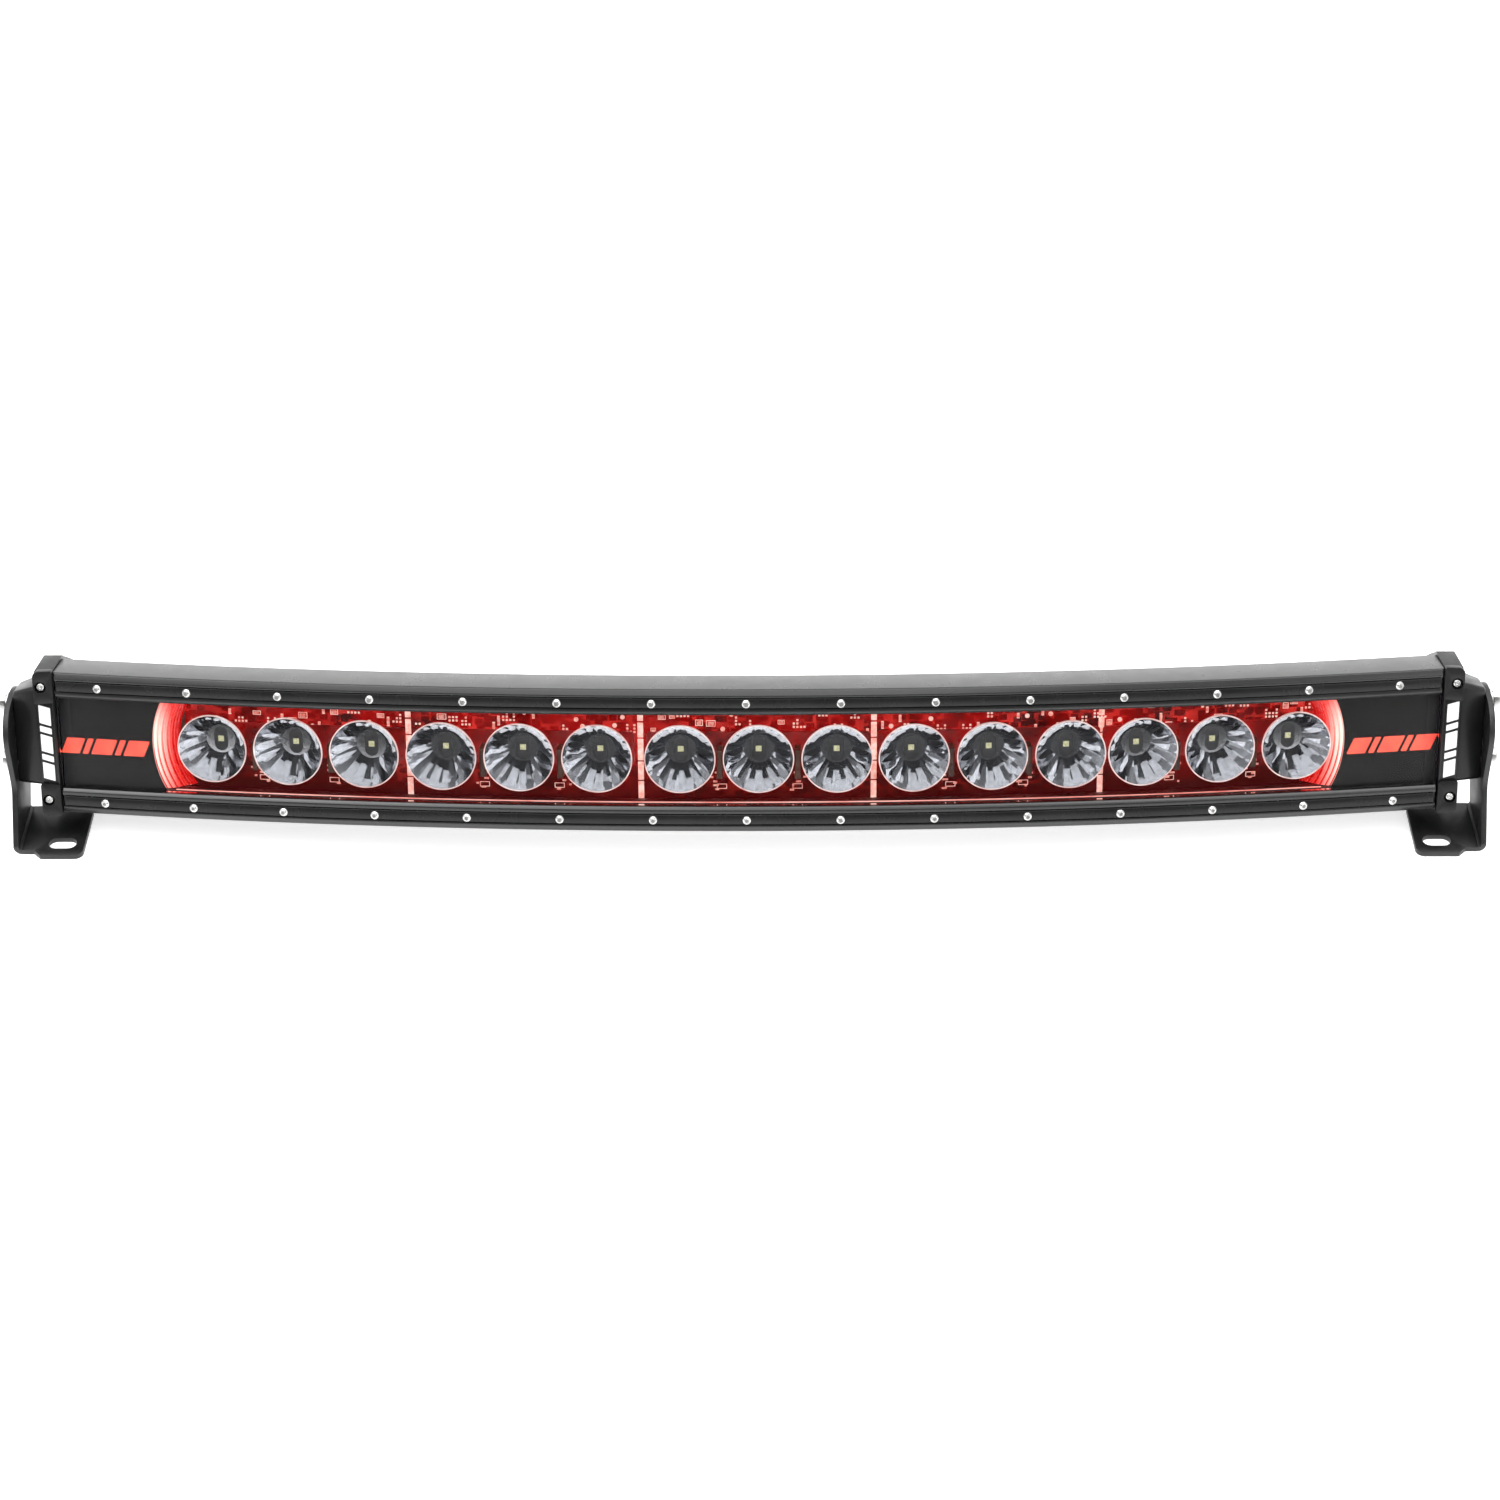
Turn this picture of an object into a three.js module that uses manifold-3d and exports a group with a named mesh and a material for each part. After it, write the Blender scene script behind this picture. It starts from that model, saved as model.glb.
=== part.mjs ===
// LED light bar, curved, 30 inch class, on two slotted side brackets. Units are mm, +Z is up.
// The bar is drawn upright with its retainer strips' face at y = 0, then tilted on its pivot bolts.
import * as THREE from 'three';
import Module from 'manifold-3d';

const wasm = await Module();
wasm.setup();

// ---- driving dimensions ----
const ARC_RADIUS = 2203.6;          // radius of the retainer face, about a vertical axis behind the bar
const BODY_END_X = 387.5;           // half length of the housing
const HALF_HEIGHT = 41.5;           // half height of the housing
const TOP_DEPTH = 27.7;             // depth of the full-height part of the housing
const WALL_BACK = 35.0;             // rear face of the housing wall, where the fins start
const FIN_REACH = [18.0, 26.0, 29.5, 30.5];  // fin lengths behind the wall, outermost first
const FIN_PITCH = 8.0;
const FIN_FIRST_Z = 5.5;
const SEGMENTS = 20;                // facets along the arc

const SCREW_COUNT = 15;             // along each retainer
const SCREW_PITCH = 51.95;
const SCREW_Z = 33.8;
const SCREW_SHANK_R = 1.45;
const SCREW_HOLE_R = 1.75;
const SCREW_HEAD_R = 2.45;
const SCREW_HEAD_H = 1.6;
const SCREW_SEAT = 0.25;            // gap under the head
const SOCKET_R = 1.1;
const SOCKET_DEPTH = 1.1;
const SCREW_REACH = 12.0;

const STRIP_HALF_W = 2.95;          // retainer strip, half its width
const STRIP_THICK = 1.9;
const STRIP_END_X = 385.6;
const RAIL_FACE_Y = 0.9;
const RAIL_BACK_Y = 5.0;
const WINDOW_HALF = 26.6;           // half height of the clear window
const GAP = 0.3;                    // gap between neighbouring parts

const MODULES = 5;
const CUPS_PER_MODULE = 3;
const LED_PITCH = 43.5;
const MODULE_PITCH = LED_PITCH * CUPS_PER_MODULE;
const MODULE_SHIFT = [3.0, 3.5, 6.6, 6.3, 4.0];  // each module, right of its even place
const LED_DROP = 1.0;               // the row of lamps sits a little low
const CUP_SPACE = 5.1;              // between neighbouring rims
const CUP_RIM_R = (LED_PITCH - CUP_SPACE) / 2;
const CUP_RIM_Y = 8.6;
const CUP_BASE_R = 8.2;
const CUP_WALL = 0.8;
const CUP_SIDES = 12;
const BRIDGE_HALF_Z = 9.7;          // strip that joins the three cups of a module
const BRIDGE_END_GAP = 1.8;
const BRIDGE_CORNER = 2.0;
const PORT_HALF_W = 3.9;            // opening in the base of each cup
const PORT_HALF_H = 7.2;
const BOARD_Y = WALL_BACK - 6.0;
const CUP_BASE_Y = BOARD_Y - 1.8;
const BOARD_THICK = 1.6;
const LED_SIZE = 3.5;

const GUIDE_CENTRE = 280.0;         // ribbed light guides at the ends of the window
const GUIDE_OUTER_R = 60.0;
const GUIDE_FRONT_R = 49.5;         // its sloped inner side, from front
const GUIDE_BACK_R = 44.0;          // to back
const GUIDE_DEPTH = [9.6, 20.0];

const CAP_INNER_X = BODY_END_X + GAP;
const CAP_OUTER_X = CAP_INNER_X + 10.8;
const CAP_PROUD = 1.9;              // how far the cap stands out past the housing
const BOSS_OUTER_X = CAP_OUTER_X + 14.1;
const PLATE = 3.0;                  // bracket plate thickness
const PLATE_INNER_X = BOSS_OUTER_X + GAP;
const PLATE_OUTER_X = PLATE_INNER_X + PLATE;

const PIVOT_Y = 54.0;               // upper bolt, which the bracket turns on
const PIVOT_Z = 18.0;
const LOCK_DROP = 34.0;             // lower bolt, in the arc slot
const BOLT_R = 2.95;
const BOLT_HOLE_R = 3.4;
const BOLT_REACH = 11.5;            // into the boss
const WASHER_R = 6.25;
const WASHER_THICK = 1.5;
const SPRING_R = 5.0;               // spring washer
const SPRING_THICK = 1.2;
const HEX_R = 5.75;                 // across the corners, halved
const HEX_HIGH = 3.8;
const TILT_DEG = 20.0;              // the bar leans back by this much from square to its feet
const SWING_DEG = 12.0;             // travel each way in the arc slot, whose ends stay behind the boss

const PIVOT_HEIGHT = HALF_HEIGHT + 25.0;  // pivot above the foot's top face
const FOOT_REAR = 41.5;             // rear edge of the foot, behind its datum
const FOOT_FRONT = -1.8;            // front edge of the foot
const FOOT_ROOT = 2.5;              // front end of the bend line
const FOOT_REACH = 39.5;            // foot width in X, from the plate's outer face
const PIVOT_BACK = 53.0;            // pivot behind the foot's datum
const BEND_R = 4.5;
const SLOT_LENGTH = 16.0;
const SLOT_WIDTH = 9.0;
const SLOT_BACK = 8.7;
const SLOT_IN = 26.8;               // slot centre, in from the plate's outer face

// ---- small helpers ----
const DEG = Math.PI / 180;
const group = new THREE.Group();
group.name = 'led_light_bar';

// Point on the bar: s along the retainer face's arc, y back from it, z up.
function onArc(phi, y, z) {
  const r = ARC_RADIUS - y;
  return [r * Math.sin(phi), ARC_RADIUS - r * Math.cos(phi), z];
}

function mirrored(half) {
  const low = half.map(([y, z]) => [y, -z]).reverse();
  return half.concat(low).filter((p, i, all) => {
    const q = all[(i + 1) % all.length];
    return Math.hypot(p[0] - q[0], p[1] - q[1]) > 1e-6;
  });
}

function area2(loop) {
  return loop.reduce((sum, p, i) => {
    const q = loop[(i + 1) % loop.length];
    return sum + p[0] * q[1] - q[0] * p[1];
  }, 0);
}

// Manifold solid from flat position and index lists, turned outward if needed.
function solidFrom(points, triangles) {
  let volume = 0;
  for (let i = 0; i < triangles.length; i += 3) {
    const a = new THREE.Vector3(...points[triangles[i]]);
    const b = new THREE.Vector3(...points[triangles[i + 1]]);
    const c = new THREE.Vector3(...points[triangles[i + 2]]);
    volume += a.dot(b.cross(c));
  }
  const order = triangles.slice();
  if (volume < 0) {
    for (let i = 0; i < order.length; i += 3) {
      [order[i], order[i + 1]] = [order[i + 1], order[i]];
    }
  }
  const vertProperties = new Float32Array(points.flat());
  const triVerts = new Uint32Array(order);
  return new wasm.Manifold(new wasm.Mesh({ numProp: 3, vertProperties, triVerts }));
}

// Skin a list of equal-length closed loops of 3-D points; flat gives each loop in 2-D for its end faces.
function skin(loops, flat) {
  const n = loops[0].length;
  const points = loops.flat();
  const triangles = [];
  for (let k = 0; k + 1 < loops.length; k += 1) {
    for (let j = 0; j < n; j += 1) {
      const a = k * n + j;
      const b = k * n + (j + 1) % n;
      triangles.push(a, b, b + n, a, b + n, a + n);
    }
  }
  const contour = flat.map(([u, v]) => new THREE.Vector2(u, v));
  const faces = THREE.ShapeUtils.triangulateShape(contour, []);
  const last = (loops.length - 1) * n;
  const forward = area2(flat) > 0;
  for (const [a, b, c] of faces) {
    if (forward) {
      triangles.push(a, c, b, last + a, last + b, last + c);
    } else {
      triangles.push(a, b, c, last + a, last + c, last + b);
    }
  }
  return [points, triangles];
}

// Sweep a (y, z) profile along the bar, ended by planes square to X.
function sweep(profile, endX) {
  const step = 2 * Math.asin(BODY_END_X / ARC_RADIUS) / SEGMENTS;
  const loop = area2(profile) > 0 ? profile : profile.slice().reverse();
  const inner = Array.from({ length: SEGMENTS - 1 }, (_, i) => (i + 1 - SEGMENTS / 2) * step);
  const ends = [-1, 1].map((side) => loop.map(([y, z]) => {
    return onArc(side * Math.asin(endX / (ARC_RADIUS - y)), y, z);
  }));
  const middle = inner.map((phi) => loop.map(([y, z]) => onArc(phi, y, z)));
  return solidFrom(...skin([ends[0], ...middle, ends[1]], loop));
}

// Prism of a 2-D outline given in the (Y, Z) plane, from x0 to x1.
function prismX(outline, x0, x1) {
  const loop = area2(outline) > 0 ? outline : outline.slice().reverse();
  return solidFrom(...skin([x0, x1].map((x) => loop.map(([y, z]) => [x, y, z])), loop));
}

// Prism of an (X, Z) outline, from y0 to y1.
function prismY(outline, y0, y1) {
  const loop = area2(outline) > 0 ? outline : outline.slice().reverse();
  return solidFrom(...skin([y0, y1].map((y) => loop.map(([x, z]) => [x, y, z])), loop));
}

// Prism of an (X, Y) outline, from z0 to z1.
function prismZ(outline, z0, z1) {
  const loop = area2(outline) > 0 ? outline : outline.slice().reverse();
  return solidFrom(...skin([z0, z1].map((z) => loop.map(([x, y]) => [x, y, z])), loop));
}

function ring(radius, sides, turn = 0) {
  return Array.from({ length: sides }, (_, i) => {
    const a = turn + i * 2 * Math.PI / sides;
    return [radius * Math.cos(a), radius * Math.sin(a)];
  });
}

function capsule(halfLong, radius, arcs = 6) {
  const right = Array.from({ length: arcs + 1 }, (_, i) => -90 + i * 180 / arcs);
  const left = right.map((a) => a + 180);
  const at = (a, cx) => [cx + radius * Math.cos(a * DEG), radius * Math.sin(a * DEG)];
  const reach = halfLong - radius;
  return right.map((a) => at(a, reach)).concat(left.map((a) => at(a, -reach)));
}

// Round each corner of a 2-D outline by its own radius.
function rounded(corners, steps = 3) {
  return corners.flatMap(([x, y, r = 0], i) => {
    if (r === 0) {
      return [[x, y]];
    }
    const here = new THREE.Vector2(x, y);
    const before = corners[(i + corners.length - 1) % corners.length];
    const after = corners[(i + 1) % corners.length];
    const back = new THREE.Vector2(before[0], before[1]).sub(here).normalize();
    const next = new THREE.Vector2(after[0], after[1]).sub(here).normalize();
    const half = Math.acos(THREE.MathUtils.clamp(back.dot(next), -1, 1)) / 2;
    const centre = here.clone().add(back.clone().add(next).normalize().multiplyScalar(r / Math.sin(half)));
    const first = here.clone().addScaledVector(back, r / Math.tan(half)).sub(centre);
    const last = here.clone().addScaledVector(next, r / Math.tan(half)).sub(centre);
    const turn = Math.atan2(first.cross(last), first.dot(last));
    return Array.from({ length: steps + 1 }, (_, k) => {
      const p = first.clone().rotateAround(new THREE.Vector2(), turn * k / steps).add(centre);
      return [p.x, p.y];
    });
  });
}

// Solid of revolution about Z from (radius, height) pairs.
function turned(profile, sides, turn = 0) {
  const loop = profile.map(([r, h]) => ring(r, sides, turn).map(([x, y]) => [x, y, h]));
  return solidFrom(...skin(loop, ring(1, sides, turn)));
}

// Place a solid whose own +Z is to point along the given direction.
function placed(solid, position, direction, spin = 0) {
  const turn = new THREE.Quaternion().setFromUnitVectors(new THREE.Vector3(0, 0, 1), direction);
  const own = new THREE.Quaternion().setFromAxisAngle(new THREE.Vector3(0, 0, 1), spin);
  const matrix = new THREE.Matrix4().compose(
    new THREE.Vector3(...position), turn.multiply(own), new THREE.Vector3(1, 1, 1));
  return solid.transform(matrix.toArray());
}

// Frame standing on the arc at phi: local x along the bar, y back, z up.
function stood(solid, phi) {
  const matrix = new THREE.Matrix4().makeTranslation(...onArc(phi, 0, 0));
  matrix.multiply(new THREE.Matrix4().makeRotationZ(phi));
  return solid.transform(matrix.toArray());
}

const pivotTurn = new THREE.Matrix4().makeRotationX(-TILT_DEG * DEG);

function node(name, solid, colour, roughness, metalness, extra = {}) {
  const mesh = solid.getMesh();
  const count = mesh.vertProperties.length / mesh.numProp;
  const position = new Float32Array(count * 3);
  for (let i = 0; i < count; i += 1) {
    position.set(mesh.vertProperties.subarray(i * mesh.numProp, i * mesh.numProp + 3), i * 3);
  }
  const geometry = new THREE.BufferGeometry();
  geometry.setAttribute('position', new THREE.BufferAttribute(position, 3));
  geometry.setIndex(new THREE.BufferAttribute(new Uint32Array(mesh.triVerts), 1));
  const flat = geometry.toNonIndexed();
  flat.computeVertexNormals();
  const material = new THREE.MeshStandardMaterial({ color: colour, roughness, metalness, ...extra });
  const item = new THREE.Mesh(flat, material);
  item.name = name;
  group.add(item);
}

// ---- shared positions ----
const screwPhis = Array.from({ length: SCREW_COUNT }, (_, i) => {
  return (i - (SCREW_COUNT - 1) / 2) * SCREW_PITCH / ARC_RADIUS;
});
const modulePhis = Array.from({ length: MODULES }, (_, i) => {
  return (MODULE_SHIFT[i] + (i - (MODULES - 1) / 2) * MODULE_PITCH) / ARC_RADIUS;
});

function screwHole(phi, z, y0, y1) {
  const drill = turned([[SCREW_HOLE_R, 0], [SCREW_HOLE_R, y1 - y0]], 10);
  return stood(placed(drill, [0, y0, z], new THREE.Vector3(0, 1, 0)), phi);
}

function drilled(solid, side, y0, y1) {
  const holes = screwPhis.map((phi) => screwHole(phi, side * SCREW_Z, y0, y1));
  return solid.subtract(wasm.Manifold.union(holes));
}

// ---- housing ----
const NOSE_Y = 3.2;
const LEDGE_Y = 9.2;
const LEDGE_Z = WINDOW_HALF + 4.3;
const CAVITY_Z = HALF_HEIGHT - 5.5;
const WALL_FRONT = WALL_BACK - 4.0;
const finZs = FIN_REACH.map((_, i) => FIN_FIRST_Z + (FIN_REACH.length - 1 - i) * FIN_PITCH);
const FIN_ROOT = 1.3;               // half thickness where it leaves the wall
const FIN_TIP = 0.8;                // and at its tip
const finOutline = finZs.flatMap((z, i) => [
  [WALL_BACK, z + FIN_ROOT],
  [WALL_BACK + FIN_REACH[i], z + FIN_TIP],
  [WALL_BACK + FIN_REACH[i], z - FIN_TIP],
  [WALL_BACK, z - FIN_ROOT],
]);
const housingHalf = [
  [WALL_FRONT, 0],
  [WALL_FRONT, CAVITY_Z],
  [LEDGE_Y + 6.8, CAVITY_Z],
  [LEDGE_Y + 6.8, WINDOW_HALF + 0.6],
  [LEDGE_Y, WINDOW_HALF + 0.6],
  [LEDGE_Y, LEDGE_Z],
  [RAIL_BACK_Y + GAP, LEDGE_Z],
  [RAIL_BACK_Y + GAP, HALF_HEIGHT - 2.3],
  [NOSE_Y, HALF_HEIGHT - 2.3],
  [NOSE_Y, HALF_HEIGHT - 0.3],
  [NOSE_Y + 0.4, HALF_HEIGHT],
  [TOP_DEPTH, HALF_HEIGHT],
  [TOP_DEPTH + 0.9, HALF_HEIGHT - 0.6],
  [WALL_BACK + 3.0, HALF_HEIGHT - 3.6],
  [WALL_BACK + 3.0, HALF_HEIGHT - 5.4],
  [WALL_BACK, HALF_HEIGHT - 6.0],
  ...finOutline,
  [WALL_BACK, 0],
];
const POCKET_X = [-20, 46];         // gap in the middle fins for the gland and breather
const POCKET_FLOOR = WALL_BACK + 0.2;
const POCKET_OPEN = 60.0;
const POCKET_HALF_Z = FIN_FIRST_Z + 1.5 * FIN_PITCH;
const GLAND_X = -2;
const VENT_X = 30;
const GLAND_STUB_R = 5.8;
const VENT_STUB_R = 3.8;

function sweptAt(x) {
  return Math.asin(x / (ARC_RADIUS - WALL_BACK));
}

function housingSolid() {
  let body = sweep(mirrored(housingHalf), BODY_END_X);
  const pocket = prismX([
    [POCKET_FLOOR, -POCKET_HALF_Z],
    [POCKET_FLOOR + POCKET_OPEN, -POCKET_HALF_Z],
    [POCKET_FLOOR + POCKET_OPEN, POCKET_HALF_Z],
    [POCKET_FLOOR, POCKET_HALF_Z],
  ], ...POCKET_X);
  body = body.subtract(pocket);
  for (const [x, r] of [[GLAND_X, GLAND_STUB_R], [VENT_X, VENT_STUB_R]]) {
    const drill = turned([[r + GAP, 0], [r + GAP, 12]], 16);
    const upright = placed(drill, [0, WALL_FRONT - 4, 0], new THREE.Vector3(0, 1, 0));
    body = body.subtract(stood(upright, sweptAt(x)));
  }
  for (const side of [-1, 1]) {
    body = drilled(body, side, 3, SCREW_REACH + 1);
  }
  return body;
}
node('housing', housingSolid(), 0x2c2d2f, 0.55, 0.6);

// ---- bezel rails, retainer strips and their screws ----
const CHANNEL = STRIP_HALF_W + GAP;
const railHalf = [
  [2.2, WINDOW_HALF + 0.1],
  [RAIL_FACE_Y, WINDOW_HALF + 1.7],
  [RAIL_FACE_Y, SCREW_Z - CHANNEL],
  [STRIP_THICK + GAP, SCREW_Z - CHANNEL],
  [STRIP_THICK + GAP, SCREW_Z + CHANNEL],
  [RAIL_FACE_Y, SCREW_Z + CHANNEL],
  [RAIL_FACE_Y, HALF_HEIGHT - 3.3],
  [2.1, HALF_HEIGHT - 0.7],
  [2.5, HALF_HEIGHT - 0.3],
  [NOSE_Y - GAP, HALF_HEIGHT - 0.3],
  [NOSE_Y - GAP, HALF_HEIGHT - 2.3 - GAP],
  [RAIL_BACK_Y, HALF_HEIGHT - 2.3 - GAP],
  [RAIL_BACK_Y, WINDOW_HALF + 0.1],
];
const stripBox = [
  [0, SCREW_Z - STRIP_HALF_W + 0.3],
  [0, SCREW_Z + STRIP_HALF_W - 0.3],
  [0.3, SCREW_Z + STRIP_HALF_W],
  [STRIP_THICK, SCREW_Z + STRIP_HALF_W],
  [STRIP_THICK, SCREW_Z - STRIP_HALF_W],
  [0.3, SCREW_Z - STRIP_HALF_W],
];
// A low rounded head: each ring's share of the radius, and of the height.
const HEAD_DOME = [[1.0, 0.0], [0.93, 0.45], [0.7, 0.86], [0.54, 1.0]];
const screwProfile = (grow = 1.0) => [
  [SCREW_SHANK_R, -SCREW_REACH],
  [SCREW_SHANK_R, SCREW_SEAT],
  ...HEAD_DOME.map(([r, h]) => [SCREW_HEAD_R * grow * r, SCREW_SEAT + SCREW_HEAD_H * h]),
];

function screwSolid(profile) {
  const top = profile[profile.length - 1][1];
  const body = turned(profile, 12);
  const key = turned([[SOCKET_R, top - SOCKET_DEPTH], [SOCKET_R, top + 1]], 6);
  return body.subtract(key);
}

const rows = [['top', 1], ['bottom', -1]];
for (const [row, side] of rows) {
  const flip = ([y, z]) => [y, side * z];
  const rail = drilled(sweep(railHalf.map(flip), BODY_END_X), side, -2, RAIL_BACK_Y + 3);
  node(`bezel_rail_${row}`, rail, 0x303133, 0.5, 0.5);
  const strip = drilled(sweep(stripBox.map(flip), STRIP_END_X), side, -2, RAIL_BACK_Y);
  node(`retainer_strip_${row}`, strip, 0x38393c, 0.45, 0.6);
  screwPhis.forEach((phi, i) => {
    const screw = placed(screwSolid(screwProfile()), [0, 0, side * SCREW_Z],
      new THREE.Vector3(0, -1, 0), i * 0.7);
    const tag = String(i + 1).padStart(2, '0');
    node(`retainer_screw_${row}_${tag}`, stood(screw, phi), 0xd4d4d2, 0.25, 1.0);
  });
}

// ---- lens and its gasket ----
const LENS_FACE_Y = 2.6;
const LENS_BACK_Y = 6.9;
const LENS_EDGE_Z = WINDOW_HALF + 3.6;
const lensHalf = [
  [LENS_BACK_Y, LENS_EDGE_Z],
  [RAIL_BACK_Y + 0.4, LENS_EDGE_Z],
  [RAIL_BACK_Y + 0.4, WINDOW_HALF - 0.4],
  [LENS_FACE_Y, WINDOW_HALF - 0.4],
];
node('lens', sweep(mirrored(lensHalf), BODY_END_X - 0.5), 0xdfe4e6, 0.05, 0.0,
  { transparent: true, opacity: 0.3 });

const gasketOuter = mirrored([[LENS_BACK_Y + GAP, LENS_EDGE_Z], [LEDGE_Y - GAP, LENS_EDGE_Z]].reverse());
const gasketInner = mirrored([[LEDGE_Y, WINDOW_HALF + 0.8], [LENS_BACK_Y, WINDOW_HALF + 0.8]]);
node('lens_gasket', sweep(gasketOuter, BODY_END_X - 0.8).subtract(sweep(gasketInner, BODY_END_X - 7)),
  0x151515, 0.9, 0.0);

// ---- reflector modules: faceted cups joined by a thin strip ----
const CUP_DEEP = CUP_BASE_Y - CUP_RIM_Y;

function cupSolid(extra, y0, y1) {
  const stages = [
    [CUP_RIM_R, CUP_RIM_Y],
    [CUP_RIM_R * 0.86, CUP_RIM_Y + CUP_DEEP * 0.3],
    [CUP_RIM_R * 0.68, CUP_RIM_Y + CUP_DEEP * 0.61],
    [CUP_BASE_R, CUP_BASE_Y],
  ];
  const profile = stages.map(([r, y]) => [r + extra, y]);
  profile[0][1] = y0;
  profile[3][1] = y1;
  return placed(turned(profile, CUP_SIDES, Math.PI / CUP_SIDES), [0, 0, 0], new THREE.Vector3(0, 1, 0));
}

function moduleSolid() {
  const half = MODULE_PITCH / 2 * (1 - BOARD_Y / ARC_RADIUS) - BRIDGE_END_GAP;
  const bridge = rounded([
    [-half, -BRIDGE_HALF_Z, BRIDGE_CORNER],
    [half, -BRIDGE_HALF_Z, BRIDGE_CORNER],
    [half, BRIDGE_HALF_Z, BRIDGE_CORNER],
    [-half, BRIDGE_HALF_Z, BRIDGE_CORNER],
  ], 2);
  const base = prismY(bridge, CUP_BASE_Y, BOARD_Y - GAP).translate([0, 0, -LED_DROP]);
  const offsets = Array.from({ length: CUPS_PER_MODULE }, (_, i) => (i - 1) * LED_PITCH);
  const at = (solid, x) => solid.translate([x, 0, -LED_DROP]);
  const outer = offsets.map((x) => at(cupSolid(CUP_WALL, CUP_RIM_Y, CUP_BASE_Y + 0.4), x));
  const inner = offsets.map((x) => at(cupSolid(0, CUP_RIM_Y - 1, CUP_BASE_Y), x));
  const slit = capsule(PORT_HALF_H, PORT_HALF_W, 4).map(([a, b]) => [b, a]);
  const port = prismY(slit, CUP_BASE_Y - 3, BOARD_Y);
  const ports = offsets.map((x) => at(port, x));
  return wasm.Manifold.union([base, ...outer]).subtract(wasm.Manifold.union([...inner, ...ports]));
}
modulePhis.forEach((phi, i) => {
  node(`reflector_module_${i + 1}`, stood(moduleSolid(), phi), 0xe6e8ea, 0.08, 1.0);
});

// ---- LED board: five flat facets, with one emitter behind each cup ----
const boardSag = (MODULE_PITCH / 2) ** 2 / (2 * (ARC_RADIUS - BOARD_Y));
const boardFront = BOARD_Y - boardSag;
const BOARD_HALF_Z = WINDOW_HALF + 5.0;
const boardLoop = [
  [boardFront, -BOARD_HALF_Z], [boardFront + BOARD_THICK, -BOARD_HALF_Z],
  [boardFront + BOARD_THICK, BOARD_HALF_Z], [boardFront, BOARD_HALF_Z],
];
const halfModule = MODULE_PITCH / 2 / ARC_RADIUS;
const boardEdges = [
  modulePhis[0] - halfModule,
  ...modulePhis.slice(1).map((phi, i) => (phi + modulePhis[i]) / 2),
  modulePhis[MODULES - 1] + halfModule,
];
const boardLoops = boardEdges.map((phi) => boardLoop.map(([y, z]) => onArc(phi, y, z)));
const emitter = prismY([
  [-LED_SIZE / 2, -LED_SIZE / 2], [LED_SIZE / 2, -LED_SIZE / 2],
  [LED_SIZE / 2, LED_SIZE / 2], [-LED_SIZE / 2, LED_SIZE / 2],
], BOARD_Y - 1.2, BOARD_Y + 0.6);
const emitters = modulePhis.flatMap((phi) => [-1, 0, 1].map((k) => {
  return stood(emitter.translate([k * LED_PITCH, 0, -LED_DROP]), phi);
}));
node('led_board', wasm.Manifold.union([solidFrom(...skin(boardLoops, boardLoop)), ...emitters]),
  0x8c1d18, 0.5, 0.1, { emissive: 0x661010 });

// ---- ribbed light guides at the window's ends ----
const GUIDE_HALF_Z = WINDOW_HALF - 0.6;
const GUIDE_STEPS = 8;
for (const [hand, side] of [['left', -1], ['right', 1]]) {
  const arcPoints = (r) => {
    const top = Math.asin(GUIDE_HALF_Z / r);
    return Array.from({ length: GUIDE_STEPS + 1 }, (_, i) => {
      const a = -top + 2 * top * i / GUIDE_STEPS;
      return [side * r * Math.cos(a), r * Math.sin(a)];
    });
  };
  const outlines = [GUIDE_FRONT_R, GUIDE_BACK_R].map((inner) => {
    return arcPoints(GUIDE_OUTER_R).concat(arcPoints(inner).reverse());
  });
  const loops = outlines.map((loop, i) => loop.map(([x, z]) => [x, GUIDE_DEPTH[i], z]));
  const guide = solidFrom(...skin(loops, outlines[0]));
  node(`light_guide_${hand}`, stood(guide, side * GUIDE_CENTRE / ARC_RADIUS), 0xd96a66, 0.3, 0.0,
    { emissive: 0x8a1c1c });
}

// ---- end caps, with the mounting boss on their outer side ----
const CAP_ROOT_Y = onArc(Math.asin(CAP_INNER_X / ARC_RADIUS), 0, 0)[1];
const capZ = HALF_HEIGHT + CAP_PROUD;
const capHalf = [
  [CAP_ROOT_Y + 1.4, 0],
  [CAP_ROOT_Y + 1.4, 23.0],
  [CAP_ROOT_Y - 0.4, 25.0],
  [CAP_ROOT_Y - 0.4, capZ - 4.4],
  [CAP_ROOT_Y + 0.4, capZ - 2.3],
  [CAP_ROOT_Y + 2.4, capZ - 1.4],
  [CAP_ROOT_Y + TOP_DEPTH + 1.5, capZ],
  [CAP_ROOT_Y + TOP_DEPTH + 4.5, capZ - 1.4],
  [CAP_ROOT_Y + WALL_BACK + 5.0, HALF_HEIGHT - 2.5],
  [CAP_ROOT_Y + WALL_BACK + FIN_REACH[0] + 2.0, finZs[0] + 3.4],
  [CAP_ROOT_Y + WALL_BACK + FIN_REACH[1] + 2.0, finZs[1] + 2.6],
  [CAP_ROOT_Y + WALL_BACK + FIN_REACH[3] + 2.0, finZs[2] + 1.0],
  [CAP_ROOT_Y + WALL_BACK + FIN_REACH[3] + 2.0, 0],
];
const hollowHalf = [
  [CAP_ROOT_Y + 12, 0],
  [CAP_ROOT_Y + 12, HALF_HEIGHT - 9],
  [CAP_ROOT_Y + TOP_DEPTH, HALF_HEIGHT - 5],
  [CAP_ROOT_Y + WALL_BACK + FIN_REACH[1] - 4, finZs[1]],
  [CAP_ROOT_Y + WALL_BACK + FIN_REACH[1] - 4, 0],
];
const CAP_SCREW_Z = SCREW_Z - 0.4;
const COUNTERBORE_R = 3.3;
const CAP_SCREW_X = CAP_OUTER_X - COUNTERBORE_R - 0.5;
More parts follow.
